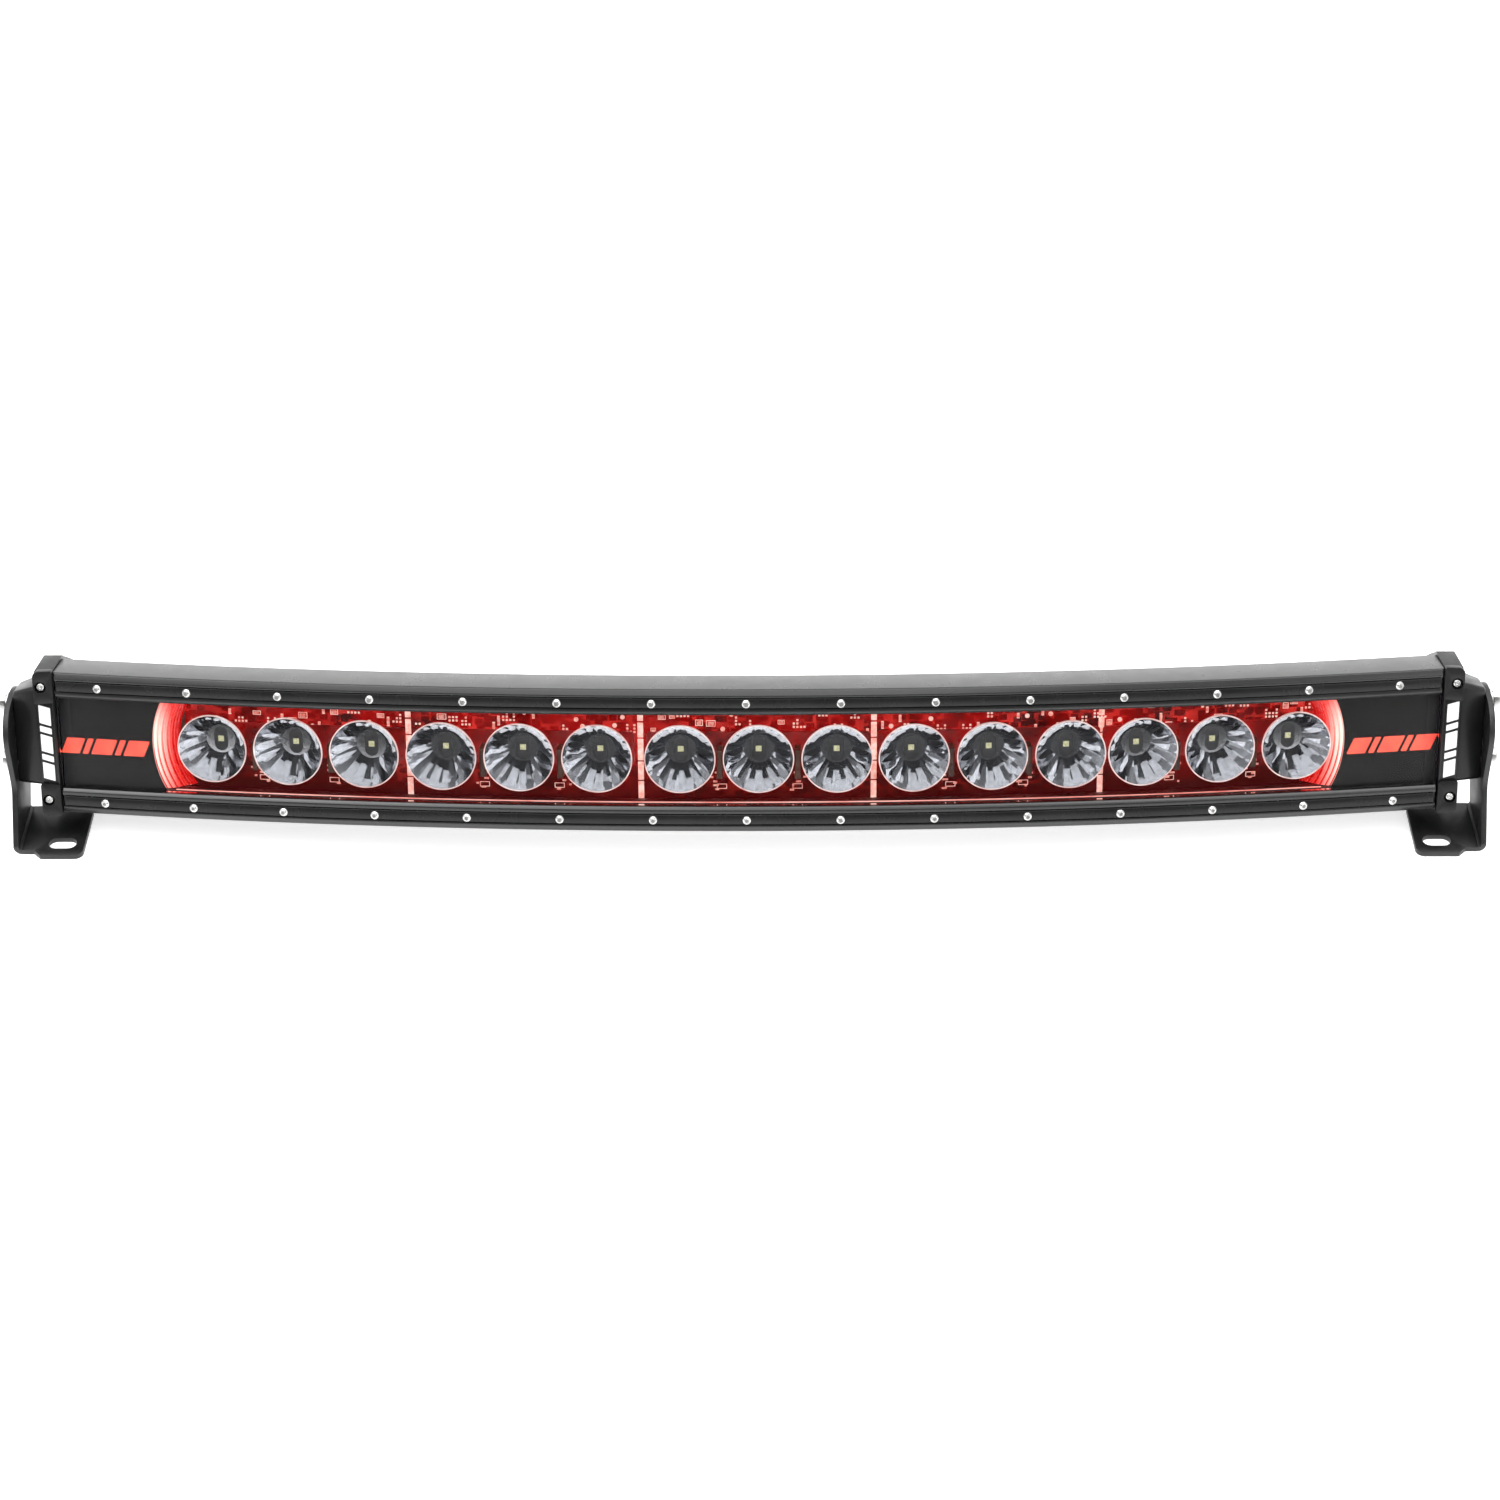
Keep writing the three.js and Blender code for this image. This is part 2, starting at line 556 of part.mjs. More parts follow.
const LOCK_Z = PIVOT_Z - LOCK_DROP;
const bossMidZ = (PIVOT_Z + LOCK_Z) / 2;
const BOSS_HALF_Z = LOCK_DROP / 2 + 10.0;
const BOSS_AHEAD = 11.5;            // of the bolts
const BOSS_BEHIND = 12.5;
const BOSS_Y = [PIVOT_Y - BOSS_AHEAD, PIVOT_Y + BOSS_BEHIND];
const BOLT_PLAY = 0.35;             // round the bolt, in the boss
const DRILL_DEPTH = 13.0;
const COUNTERBORE_DEPTH = 1.6;
const BOSS_FLARE = 4.0;             // where it meets the cap
const bossLoop = (grow) => rounded([
  [BOSS_Y[0] - grow, bossMidZ - BOSS_HALF_Z, 3],
  [BOSS_Y[1] + grow, bossMidZ - BOSS_HALF_Z, 6],
  [BOSS_Y[1] + grow, bossMidZ + BOSS_HALF_Z + grow, 6],
  [BOSS_Y[0] - grow, bossMidZ + BOSS_HALF_Z + grow, 3],
]);

function endCapSolid(side) {
  const x = (v) => side * v;
  let cap = prismX(mirrored(capHalf), x(CAP_INNER_X), x(CAP_OUTER_X));
  cap = cap.subtract(prismX(mirrored(hollowHalf), x(CAP_INNER_X - 1), x(CAP_OUTER_X - 5)));
  const boss = [[CAP_OUTER_X - 2, BOSS_FLARE], [CAP_OUTER_X + 1.5, BOSS_FLARE], [BOSS_OUTER_X, 0]];
  const loops = boss.map(([bx, grow]) => bossLoop(grow).map(([y, z]) => [x(bx), y, z]));
  cap = cap.add(solidFrom(...skin(loops, bossLoop(0))));
  for (const z of [PIVOT_Z, LOCK_Z]) {
    const bore = BOLT_R + BOLT_PLAY;
    const drill = turned([[bore, 0], [bore, DRILL_DEPTH + 1]], 14);
    cap = cap.subtract(placed(drill, [x(BOSS_OUTER_X + 1), PIVOT_Y, z], new THREE.Vector3(-side, 0, 0)));
  }
  for (const z of [-CAP_SCREW_Z, CAP_SCREW_Z]) {
    const drill = turned([
      [COUNTERBORE_R, -4],
      [COUNTERBORE_R, COUNTERBORE_DEPTH],
      [SCREW_HOLE_R, COUNTERBORE_DEPTH],
      [SCREW_HOLE_R, DRILL_DEPTH + 1],
    ], 14);
    cap = cap.subtract(placed(drill, [x(CAP_SCREW_X), CAP_ROOT_Y - 0.4, z], new THREE.Vector3(0, 1, 0)));
  }
  return cap;
}

const CAP_HEAD_GROW = 1.1;          // the cap screws' heads are a size larger
const WASHER_SEAT = PLATE + 2 * GAP;
const HEAD_SEAT = WASHER_SEAT + WASHER_THICK + SPRING_THICK;
const boltProfile = [
  [BOLT_R, -BOLT_REACH],
  [BOLT_R, WASHER_SEAT],
  [WASHER_R, WASHER_SEAT],
  [WASHER_R, WASHER_SEAT + WASHER_THICK],
  [SPRING_R, WASHER_SEAT + WASHER_THICK],
  [SPRING_R, HEAD_SEAT],
];

function boltSolid() {
  const hex = turned([
    [HEX_R, HEAD_SEAT - 0.2], [HEX_R, HEAD_SEAT + HEX_HIGH - 0.6], [HEX_R - 0.75, HEAD_SEAT + HEX_HIGH],
  ], 6);
  return turned(boltProfile, 16).add(hex);
}

// ---- brackets ----
// Foot frame: u runs back along the foot from its datum, w up from the foot's top face.
function slotPoint(radius, deg) {
  return [PIVOT_BACK - radius * Math.sin(deg * DEG), PIVOT_HEIGHT - radius * Math.cos(deg * DEG)];
}

function arcSlotOutline(half) {
  const steps = 8;
  const out = [];
  const sweepDeg = (i) => TILT_DEG - SWING_DEG + 2 * SWING_DEG * i / steps;
  for (let i = 0; i <= steps; i += 1) {
    out.push(slotPoint(LOCK_DROP + half, sweepDeg(i)));
  }
  for (let i = 1; i < 5; i += 1) {
    const centre = slotPoint(LOCK_DROP, TILT_DEG + SWING_DEG);
    const a = (TILT_DEG + SWING_DEG + 36 * i) * DEG;
    out.push([centre[0] - half * Math.sin(a), centre[1] - half * Math.cos(a)]);
  }
  for (let i = steps; i >= 0; i -= 1) {
    out.push(slotPoint(LOCK_DROP - half, sweepDeg(i)));
  }
  for (let i = 1; i < 5; i += 1) {
    const centre = slotPoint(LOCK_DROP, TILT_DEG - SWING_DEG);
    const a = (TILT_DEG - SWING_DEG + 180 + 36 * i) * DEG;
    out.push([centre[0] - half * Math.sin(a), centre[1] - half * Math.cos(a)]);
  }
  return out;
}

// The arm rises from the foot, leans back and ends in a rounded head: (u, w, corner radius).
const HEAD_R = 25.5;
const HEAD_U = PIVOT_BACK - 6.0;
const HEAD_W = PIVOT_HEIGHT - 16.0;
const WAIST_FRONT = 18.8;           // how far back the front edge leans by the waist
const WAIST_REAR = 20.5;
const armOutline = rounded([
  [FOOT_ROOT, 0],
  [FOOT_ROOT + WAIST_FRONT, HEAD_W - 21, 18],
  [HEAD_U - HEAD_R, HEAD_W - 6.5, 6],
  [HEAD_U - HEAD_R, HEAD_W + HEAD_R, 19],
  [HEAD_U + HEAD_R, HEAD_W + HEAD_R, 24],
  [HEAD_U + HEAD_R, HEAD_W - 12, 20],
  [FOOT_REAR + WAIST_REAR, HEAD_W - 22.5, 16],
  [FOOT_REAR, 0],
], 6);

function bracketSolid(side) {
  // The bracket is drawn as (x, u, w) with x measured outward, then mirrored by hand.
  const plate = prismX(armOutline, PLATE_INNER_X, PLATE_OUTER_X);
  const inX = PLATE_OUTER_X - FOOT_REACH;
  const bendIn = BEND_R - PLATE;
  const arcs = (cx, cw, r) => [0, 30, 60, 90].map((a) => {
    return [cx + r * Math.sin(a * DEG), cw - r * Math.cos(a * DEG)];
  });
  const outerBend = arcs(PLATE_OUTER_X - BEND_R, -PLATE + BEND_R, BEND_R);
  const innerBend = arcs(PLATE_OUTER_X - BEND_R, -PLATE + BEND_R, bendIn).reverse();
  const inBend = PLATE_OUTER_X - BEND_R - 1;
  const bendTop = BEND_R - 2.0;
  const section = [
    [inBend, -PLATE],
    ...outerBend,
    [PLATE_OUTER_X, bendTop],
    [PLATE_INNER_X, bendTop],
    ...innerBend,
    [inBend, 0],
  ];
  const bend = prismY(section, FOOT_ROOT, FOOT_REAR);
  const footLoop = rounded([
    [inX, FOOT_FRONT, 5],
    [PLATE_OUTER_X - 15.5, FOOT_FRONT, 2],
    [PLATE_OUTER_X - 11.5, FOOT_ROOT, 1.5],
    [PLATE_OUTER_X - BEND_R, FOOT_ROOT],
    [PLATE_OUTER_X - BEND_R, FOOT_REAR],
    [inX, FOOT_REAR, 5],
  ], 4);
  const foot = prismZ(footLoop, -PLATE, 0);
  const under = [[-50, -10], [90, -10], [90, BEND_R - PLATE + 0.7], [-50, BEND_R - PLATE + 0.7]];
  const belowBend = prismX(under, inX - 5, PLATE_OUTER_X + 1);
  let body = plate.subtract(belowBend).add(bend).add(foot);
  const slot = capsule(SLOT_LENGTH / 2, SLOT_WIDTH / 2, 8).map(([a, b]) => {
    return [PLATE_OUTER_X - SLOT_IN + a, SLOT_BACK + b];
  });
  body = body.subtract(prismZ(slot, -PLATE - 2, 2));
  const hole = ring(BOLT_HOLE_R, 16).map(([a, b]) => [PIVOT_BACK + a, PIVOT_HEIGHT + b]);
  for (const outline of [hole, arcSlotOutline(BOLT_HOLE_R)]) {
    body = body.subtract(prismX(outline, PLATE_INNER_X - 2, PLATE_OUTER_X + 2));
  }
  return side > 0 ? body : body.mirror([1, 0, 0]);
}

for (const [hand, side] of [['left', -1], ['right', 1]]) {
  node(`end_cap_${hand}`, endCapSolid(side), 0x262729, 0.5, 0.5);
  rows.forEach(([row, up]) => {
    const base = [side * CAP_SCREW_X, CAP_ROOT_Y + 1.4, up * CAP_SCREW_Z];
    node(`cap_screw_${hand}_${row}`, placed(screwSolid(screwProfile(CAP_HEAD_GROW)), base,
      new THREE.Vector3(0, -1, 0), 0.4), 0xd4d4d2, 0.25, 1.0);
  });
  for (const [label, z] of [['pivot', PIVOT_Z], ['lock', LOCK_Z]]) {
    node(`${label}_bolt_${hand}`, placed(boltSolid(), [side * BOSS_OUTER_X, PIVOT_Y, z],
      new THREE.Vector3(side, 0, 0)), 0xc9cacc, 0.3, 1.0);
  }
}

// ---- cable gland and breather, in the pocket at the back ----
const STUB_START = WALL_FRONT + 0.2;
const FLANGE_Y = WALL_BACK + 0.5;
const GLAND_FLANGE_R = 8.8;
const GLAND_NUT_R = 7.6;
const GLAND_MOUTH_R = 5.6;
const CORD_R = 2.8;
const glandBody = turned([
  [GLAND_STUB_R, STUB_START],
  [GLAND_STUB_R, FLANGE_Y],
  [GLAND_FLANGE_R, FLANGE_Y],
  [GLAND_FLANGE_R, FLANGE_Y + 5.0],
  [GLAND_NUT_R, FLANGE_Y + 5.0],
  [GLAND_NUT_R, FLANGE_Y + 11.5],
  [GLAND_MOUTH_R, FLANGE_Y + 15.5],
], 12);
const glandBore = turned([[CORD_R, WALL_FRONT - 1], [CORD_R, WALL_BACK + 20]], 10);
const gland = placed(glandBody.subtract(glandBore), [0, 0, 0], new THREE.Vector3(0, 1, 0));
node('cable_gland', stood(gland, sweptAt(GLAND_X)), 0x1b1b1c, 0.6, 0.0);
const VENT_R = 6.4;
const vent = placed(turned([
  [VENT_STUB_R, STUB_START],
  [VENT_STUB_R, FLANGE_Y],
  [VENT_R, FLANGE_Y],
  [VENT_R, FLANGE_Y + 2.9],
  [VENT_R - 1.0, FLANGE_Y + 3.7],
], 12), [0, 0, 0], new THREE.Vector3(0, 1, 0));
node('breather_vent', stood(vent, sweptAt(VENT_X)), 0x1d1d1e, 0.6, 0.0);

// ---- tilt the bar about its pivot, stand the feet on z = 0 and centre the part ----
const tiltAboutPivot = new THREE.Matrix4().makeTranslation(0, PIVOT_BACK, PIVOT_HEIGHT + PLATE)
  .multiply(pivotTurn)
  .multiply(new THREE.Matrix4().makeTranslation(0, -PIVOT_Y, -PIVOT_Z));
for (const item of group.children) {
  item.geometry.applyMatrix4(tiltAboutPivot);
}
for (const [hand, side] of [['left', -1], ['right', 1]]) {
  node(`bracket_${hand}`, bracketSolid(side).translate([0, 0, PLATE]), 0x1f2022, 0.6, 0.3);
}
const box = new THREE.Box3().setFromObject(group);
const shiftY = -(box.min.y + box.max.y) / 2;
for (const item of group.children) {
  item.geometry.translate(0, shiftY, 0);
}

export default group;
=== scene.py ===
"""Looks for a curved LED light bar of the thirty inch class, standing on two slotted side brackets.

The bar is modelled straight, with x along it, y back from its retainer strips and z up, in millimetres.
It is then bent to its arc, leaned back on its pivot bolts and scaled to metres in the row's frame.
"""

import logging
import math
import random
from collections.abc import Callable
from dataclasses import dataclass, field
from enum import Enum

import bmesh
import bpy
from mathutils import Matrix, Vector


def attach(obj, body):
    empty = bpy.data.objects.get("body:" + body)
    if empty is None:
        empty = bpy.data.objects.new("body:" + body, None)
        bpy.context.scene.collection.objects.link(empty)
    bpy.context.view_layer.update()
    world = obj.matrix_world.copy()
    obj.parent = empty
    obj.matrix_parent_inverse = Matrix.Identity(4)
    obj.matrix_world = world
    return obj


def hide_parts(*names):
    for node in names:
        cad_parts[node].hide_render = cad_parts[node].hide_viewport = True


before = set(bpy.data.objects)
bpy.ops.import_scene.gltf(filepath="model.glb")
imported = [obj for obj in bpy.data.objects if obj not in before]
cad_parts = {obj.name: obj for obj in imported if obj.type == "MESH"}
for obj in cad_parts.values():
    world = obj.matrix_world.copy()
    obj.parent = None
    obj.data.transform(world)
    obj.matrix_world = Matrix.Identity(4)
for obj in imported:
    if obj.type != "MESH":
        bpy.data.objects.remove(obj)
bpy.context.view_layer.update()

log = logging.getLogger("light_bar")

Point2 = tuple[float, float]
Colour = tuple[float, float, float]


class Body(Enum):
    """The bodies that pieces ride on."""

    BAR = "bar"
    LEFT = "left_bracket"
    RIGHT = "right_bracket"


class Hand(Enum):
    """The two ends of the bar, with the sign of x there."""

    LEFT = -1
    RIGHT = 1

    @property
    def label(self) -> str:
        """Lower case name of the end."""
        return self.name.lower()


class Row(Enum):
    """The two retainer rows, with the sign of z there."""

    TOP = 1
    BOTTOM = -1

    @property
    def label(self) -> str:
        """Lower case name of the row."""
        return self.name.lower()


# ---------------------------------------------------------------- placing


@dataclass(frozen=True)
class BarSpace:
    """Where the straight model goes: its arc, its lean and its place in the row's frame."""

    arc_radius: float = 2203.6
    pivot_y: float = 54.0
    pivot_z: float = 18.0
    row_y: float = 13.479
    row_z: float = 69.5
    lean: float = math.radians(20.0)
    foot_y: float = -39.521
    foot_z: float = 3.0

    def bent(self, at: Vector) -> Vector:
        """Point of the straight bar moved onto the arc.

        Args:
            at: point of the straight bar, in millimetres.

        Returns:
            The point on the arc.
        """
        angle = at.x / self.arc_radius
        radius = self.arc_radius - at.y
        return Vector((radius * math.sin(angle), self.arc_radius - radius * math.cos(angle), at.z))

    def leaned(self, at: Vector) -> Vector:
        """Point of the bent bar, leaned back about the pivot bolts, in metres.

        Args:
            at: point of the bent bar, in millimetres.

        Returns:
            The point in the frame, in metres.
        """
        y = at.y - self.pivot_y
        z = at.z - self.pivot_z
        turned_y = y * math.cos(self.lean) + z * math.sin(self.lean)
        turned_z = z * math.cos(self.lean) - y * math.sin(self.lean)
        return Vector((at.x, self.row_y + turned_y, self.row_z + turned_z)) * 0.001

    def footed(self, at: Vector) -> Vector:
        """Point of a bracket, given from its foot's datum, in metres."""
        return Vector((at.x, at.y + self.foot_y, at.z + self.foot_z)) * 0.001

    def standing(self, along: float) -> Matrix:
        """Frame on the arc at a length along it: x along the bar, y back, z up."""
        origin = self.bent(Vector((along, 0.0, 0.0)))
        return Matrix.Translation(origin) @ Matrix.Rotation(along / self.arc_radius, 4, "Z")

    def square_end(self, reach: float, depth: float) -> float:
        """Length along the arc at which a layer of that depth reaches x = reach."""
        return self.arc_radius * math.asin(reach / (self.arc_radius - depth))


SPACE = BarSpace()
TO_FRONT = Matrix.Rotation(math.radians(90), 4, "X")  # turns a shape's own +z to face the viewer
TO_BACK = Matrix.Rotation(math.radians(-90), 4, "X")


def rounded(corners: list[tuple[float, ...]], steps: int = 3) -> list[Point2]:
    """Round the corners of a 2-D outline.

    Args:
        corners: (u, v) or (u, v, radius) in order round the outline.
        steps: facets in each rounded corner.

    Returns:
        The outline as plain points.
    """
    points: list[Point2] = []
    for index, corner in enumerate(corners):
        here = Vector(corner[:2])
        radius = corner[2] if len(corner) > 2 else 0.0
        if radius <= 0.0:
            points.append((here.x, here.y))
            continue
        back = (Vector(corners[index - 1][:2]) - here).normalized()
        ahead = (Vector(corners[(index + 1) % len(corners)][:2]) - here).normalized()
        half = math.acos(max(-1.0, min(1.0, back.dot(ahead)))) / 2
        centre = here + (back + ahead).normalized() * (radius / math.sin(half))
        first = here + back * (radius / math.tan(half)) - centre
        last = here + ahead * (radius / math.tan(half)) - centre
        sweep = math.atan2(first.x * last.y - first.y * last.x, first.dot(last))
        for step in range(steps + 1):
            turn = sweep * step / steps
            u = first.x * math.cos(turn) - first.y * math.sin(turn)
            v = first.x * math.sin(turn) + first.y * math.cos(turn)
            points.append((centre.x + u, centre.y + v))
    return points


def circle(u: float, v: float, radius: float, steps: int = 24) -> list[Point2]:
    """Points round a circle."""
    turns = [2 * math.pi * step / steps for step in range(steps)]
    return [(u + radius * math.cos(turn), v + radius * math.sin(turn)) for turn in turns]


def capsule(u: float, v: float, half_long: float, radius: float, upright: bool = False) -> list[Point2]:
    """Points round a slot with round ends, along u or, if upright, along v.

    Args:
        u: middle of the slot.
        v: middle of the slot.
        half_long: half of the whole length.
        radius: radius of the ends.
        upright: run along v.

    Returns:
        The outline.
    """
    reach = half_long - radius
    points = []
    for end, start in ((1, -90), (-1, 90)):
        for step in range(9):
            turn = math.radians(start + step * 22.5)
            across = radius * math.sin(turn)
            along = end * reach + radius * math.cos(turn)
            points.append((u - across, v + along) if upright else (u + along, v + across))
    return points


class Shape:
    """A mesh under construction, with the operations that the pieces share."""

    AXES = {
        "x": (lambda u, v, w: (w, u, v), Vector((1, 0, 0))),
        "y": (lambda u, v, w: (u, w, v), Vector((0, 1, 0))),
        "z": (lambda u, v, w: (u, v, w), Vector((0, 0, 1))),
    }

    def __init__(self) -> None:
        """Start with an empty mesh."""
        self.bm = bmesh.new()

    @classmethod
    def prism(
        cls,
        outline: list[Point2],
        axis: str,
        low: float,
        high: float,
        holes: tuple[list[Point2], ...] = (),
    ) -> "Shape":
        """Extrude a 2-D outline, with holes, along an axis.

        Args:
            outline: points round the outline, in the two other axes in order.
            axis: "x", "y" or "z".
            low: where the prism starts along the axis.
            high: where it ends.
            holes: outlines of through holes.

        Returns:
            The closed prism.
        """
        shape = cls()
        place, direction = cls.AXES[axis]
        edges = []
        for loop in (outline, *holes):
            verts = [shape.bm.verts.new(place(u, v, low)) for u, v in loop]
            edges += [shape.bm.edges.new((verts[i - 1], verts[i])) for i in range(len(verts))]
        if holes:
            bmesh.ops.triangle_fill(shape.bm, edges=edges, use_beauty=True)
        else:
            bmesh.ops.contextual_create(shape.bm, geom=edges)
        made = bmesh.ops.extrude_face_region(shape.bm, geom=shape.bm.faces[:])
        moved = [item for item in made["geom"] if isinstance(item, bmesh.types.BMVert)]
        bmesh.ops.translate(shape.bm, vec=direction * (high - low), verts=moved)
        return shape.outward()

    @classmethod
    def turned(
        cls,
        rings: list[tuple[float | Callable[[float], float], float]],
        steps: int = 24,
        closed: bool = False,
    ) -> "Shape":
        """Shape of rings stacked on +z, each with its own radius.

        Args:
            rings: (radius, height) of each ring; a radius may be a function of the angle.
            steps: points in each ring.
            closed: join the last ring to the first, as in a washer.

        Returns:
            The turned shape, with its open ends filled unless it is closed on itself.
        """
        shape = cls()
        made = bmesh.ops.create_circle(shape.bm, cap_ends=False, radius=1.0, segments=steps)
        start = list({edge for vert in made["verts"] for edge in vert.link_edges})
        edges = start
        for index, (radius, height) in enumerate(rings):
            if index:
                grown = bmesh.ops.extrude_edge_only(shape.bm, edges=edges)["geom"]
                edges = [item for item in grown if isinstance(item, bmesh.types.BMEdge)]
            for vert in {vert for edge in edges for vert in edge.verts}:
                angle = math.atan2(vert.co.y, vert.co.x)
                reach = radius(angle) if callable(radius) else radius
                reach = max(reach, 1e-4)
                vert.co = Vector((reach * math.cos(angle), reach * math.sin(angle), height))
        if closed:
            bmesh.ops.bridge_loops(shape.bm, edges=start + edges)
        else:
            bmesh.ops.holes_fill(shape.bm, edges=shape.bm.edges[:], sides=0)
        bmesh.ops.remove_doubles(shape.bm, verts=shape.bm.verts[:], dist=1e-3)
        return shape.outward()

    @classmethod
    def block(cls, centre: tuple[float, float, float], size: tuple[float, float, float]) -> "Shape":
        """A box, given by its centre and its size.

        Args:
            centre: middle of the box.
            size: lengths along x, y and z.

        Returns:
            The box.
        """
        shape = cls()
        matrix = Matrix.Translation(centre) @ Matrix.Diagonal((*size, 1.0))
        bmesh.ops.create_cube(shape.bm, size=1.0, matrix=matrix)
        return shape

    def outward(self) -> "Shape":
        """Turn every face outward."""
        bmesh.ops.recalc_face_normals(self.bm, faces=self.bm.faces[:])
        return self

    def bevelled(self, width: float, segments: int = 2, above: float = 35.0) -> "Shape":
        """Bevel the edges that fold by more than an angle.

        Args:
            width: bevel width in millimetres.
            segments: facets across the bevel.
            above: least fold in degrees.

        Returns:
            The same shape.
        """
        limit = math.radians(above)
        edges = [edge for edge in self.bm.edges if edge.calc_face_angle(0.0) > limit]
        bmesh.ops.bevel(
            self.bm,
            geom=edges,
            offset=width,
            offset_type="OFFSET",
            segments=segments,
            profile=0.5,
            affect="EDGES",
            clamp_overlap=True,
            material=-1,
        )
        return self

    def cut(self, stations: list[float]) -> "Shape":
        """Add a ring of edges at each station along x.

        Args:
            stations: x of each cut.

        Returns:
            This shape.
        """
        for station in stations:
            geometry = self.bm.verts[:] + self.bm.edges[:] + self.bm.faces[:]
            bmesh.ops.bisect_plane(
                self.bm, geom=geometry, dist=1e-4, plane_co=(station, 0, 0), plane_no=(1, 0, 0)
            )
        return self

    def moved(self, change: Callable[[Vector], Vector]) -> "Shape":
        """Move every vertex by a rule.

        Args:
            change: gives the new place of a vertex from its old one.

        Returns:
            This shape.
        """
        for vert in self.bm.verts:
            vert.co = change(vert.co.copy())
        return self

    def placed(self, matrix: Matrix) -> "Shape":
        """Transform the shape, turning it outward again after a mirror.

        Args:
            matrix: the transform.

        Returns:
            This shape.
        """
        bmesh.ops.transform(self.bm, matrix=matrix, verts=self.bm.verts[:])
        if matrix.determinant() < 0:
            bmesh.ops.reverse_faces(self.bm, faces=self.bm.faces[:])
        return self

    def joined(self, other: "Shape") -> "Shape":
        """Add another shape's mesh to this one.

        Args:
            other: the shape to add.

        Returns:
            This shape.
        """
        mesh = bpy.data.meshes.new("joining")
        other.bm.to_mesh(mesh)
        other.bm.free()
        self.bm.from_mesh(mesh)
        bpy.data.meshes.remove(mesh)
        return self

    def smoothed(self, below: float = 32.0) -> "Shape":
        """Shade smooth, with sharp edges where the surface folds by more than an angle in degrees.

        Args:
            below: largest fold that stays smooth, in degrees.

        Returns:
            This shape.
        """
        limit = math.radians(below)
        for face in self.bm.faces:
            face.smooth = True
        for edge in self.bm.edges:
            edge.smooth = edge.calc_face_angle(0.0) < limit
        return self


def joined(shapes: list[Shape]) -> Shape:
    """All the shapes in one mesh.

    Args:
        shapes: the shapes to put together.

    Returns:
        The combined shape.
    """
    whole = Shape()
    for shape in shapes:
        whole.joined(shape)
    return whole


def along_arc(outline: list[Point2], reach: float, depth: float | None = None, pieces: int = 48) -> Shape:
    """Sweep a (y, z) outline along the bar's arc between two planes square to x.

    Args:
        outline: section of the bar.
        reach: x of the end planes.
        depth: depth at which the length is reckoned; None trims each point square to x.
        pieces: facets along the arc.

    Returns:
        The swept shape, bent to the arc.
    """
    longest = SPACE.square_end(reach, 0.0 if depth is None else depth)
    shape = Shape.prism(outline, "x", -longest, longest)
    stations = [longest * (2 * step / pieces - 1) for step in range(1, pieces)]
    shape.cut(stations)

    def trimmed(at: Vector) -> Vector:
        """The end points moved so that each end is square to x.

        Args:
            at: point of the straight sweep.

        Returns:
            The point on the arc.
        """
        if abs(at.x) > longest - 1e-3:
            at.x = math.copysign(SPACE.square_end(reach, at.y), at.x)
        return SPACE.bent(at)

    return shape.moved(trimmed).outward()


# ---------------------------------------------------------------- finishes


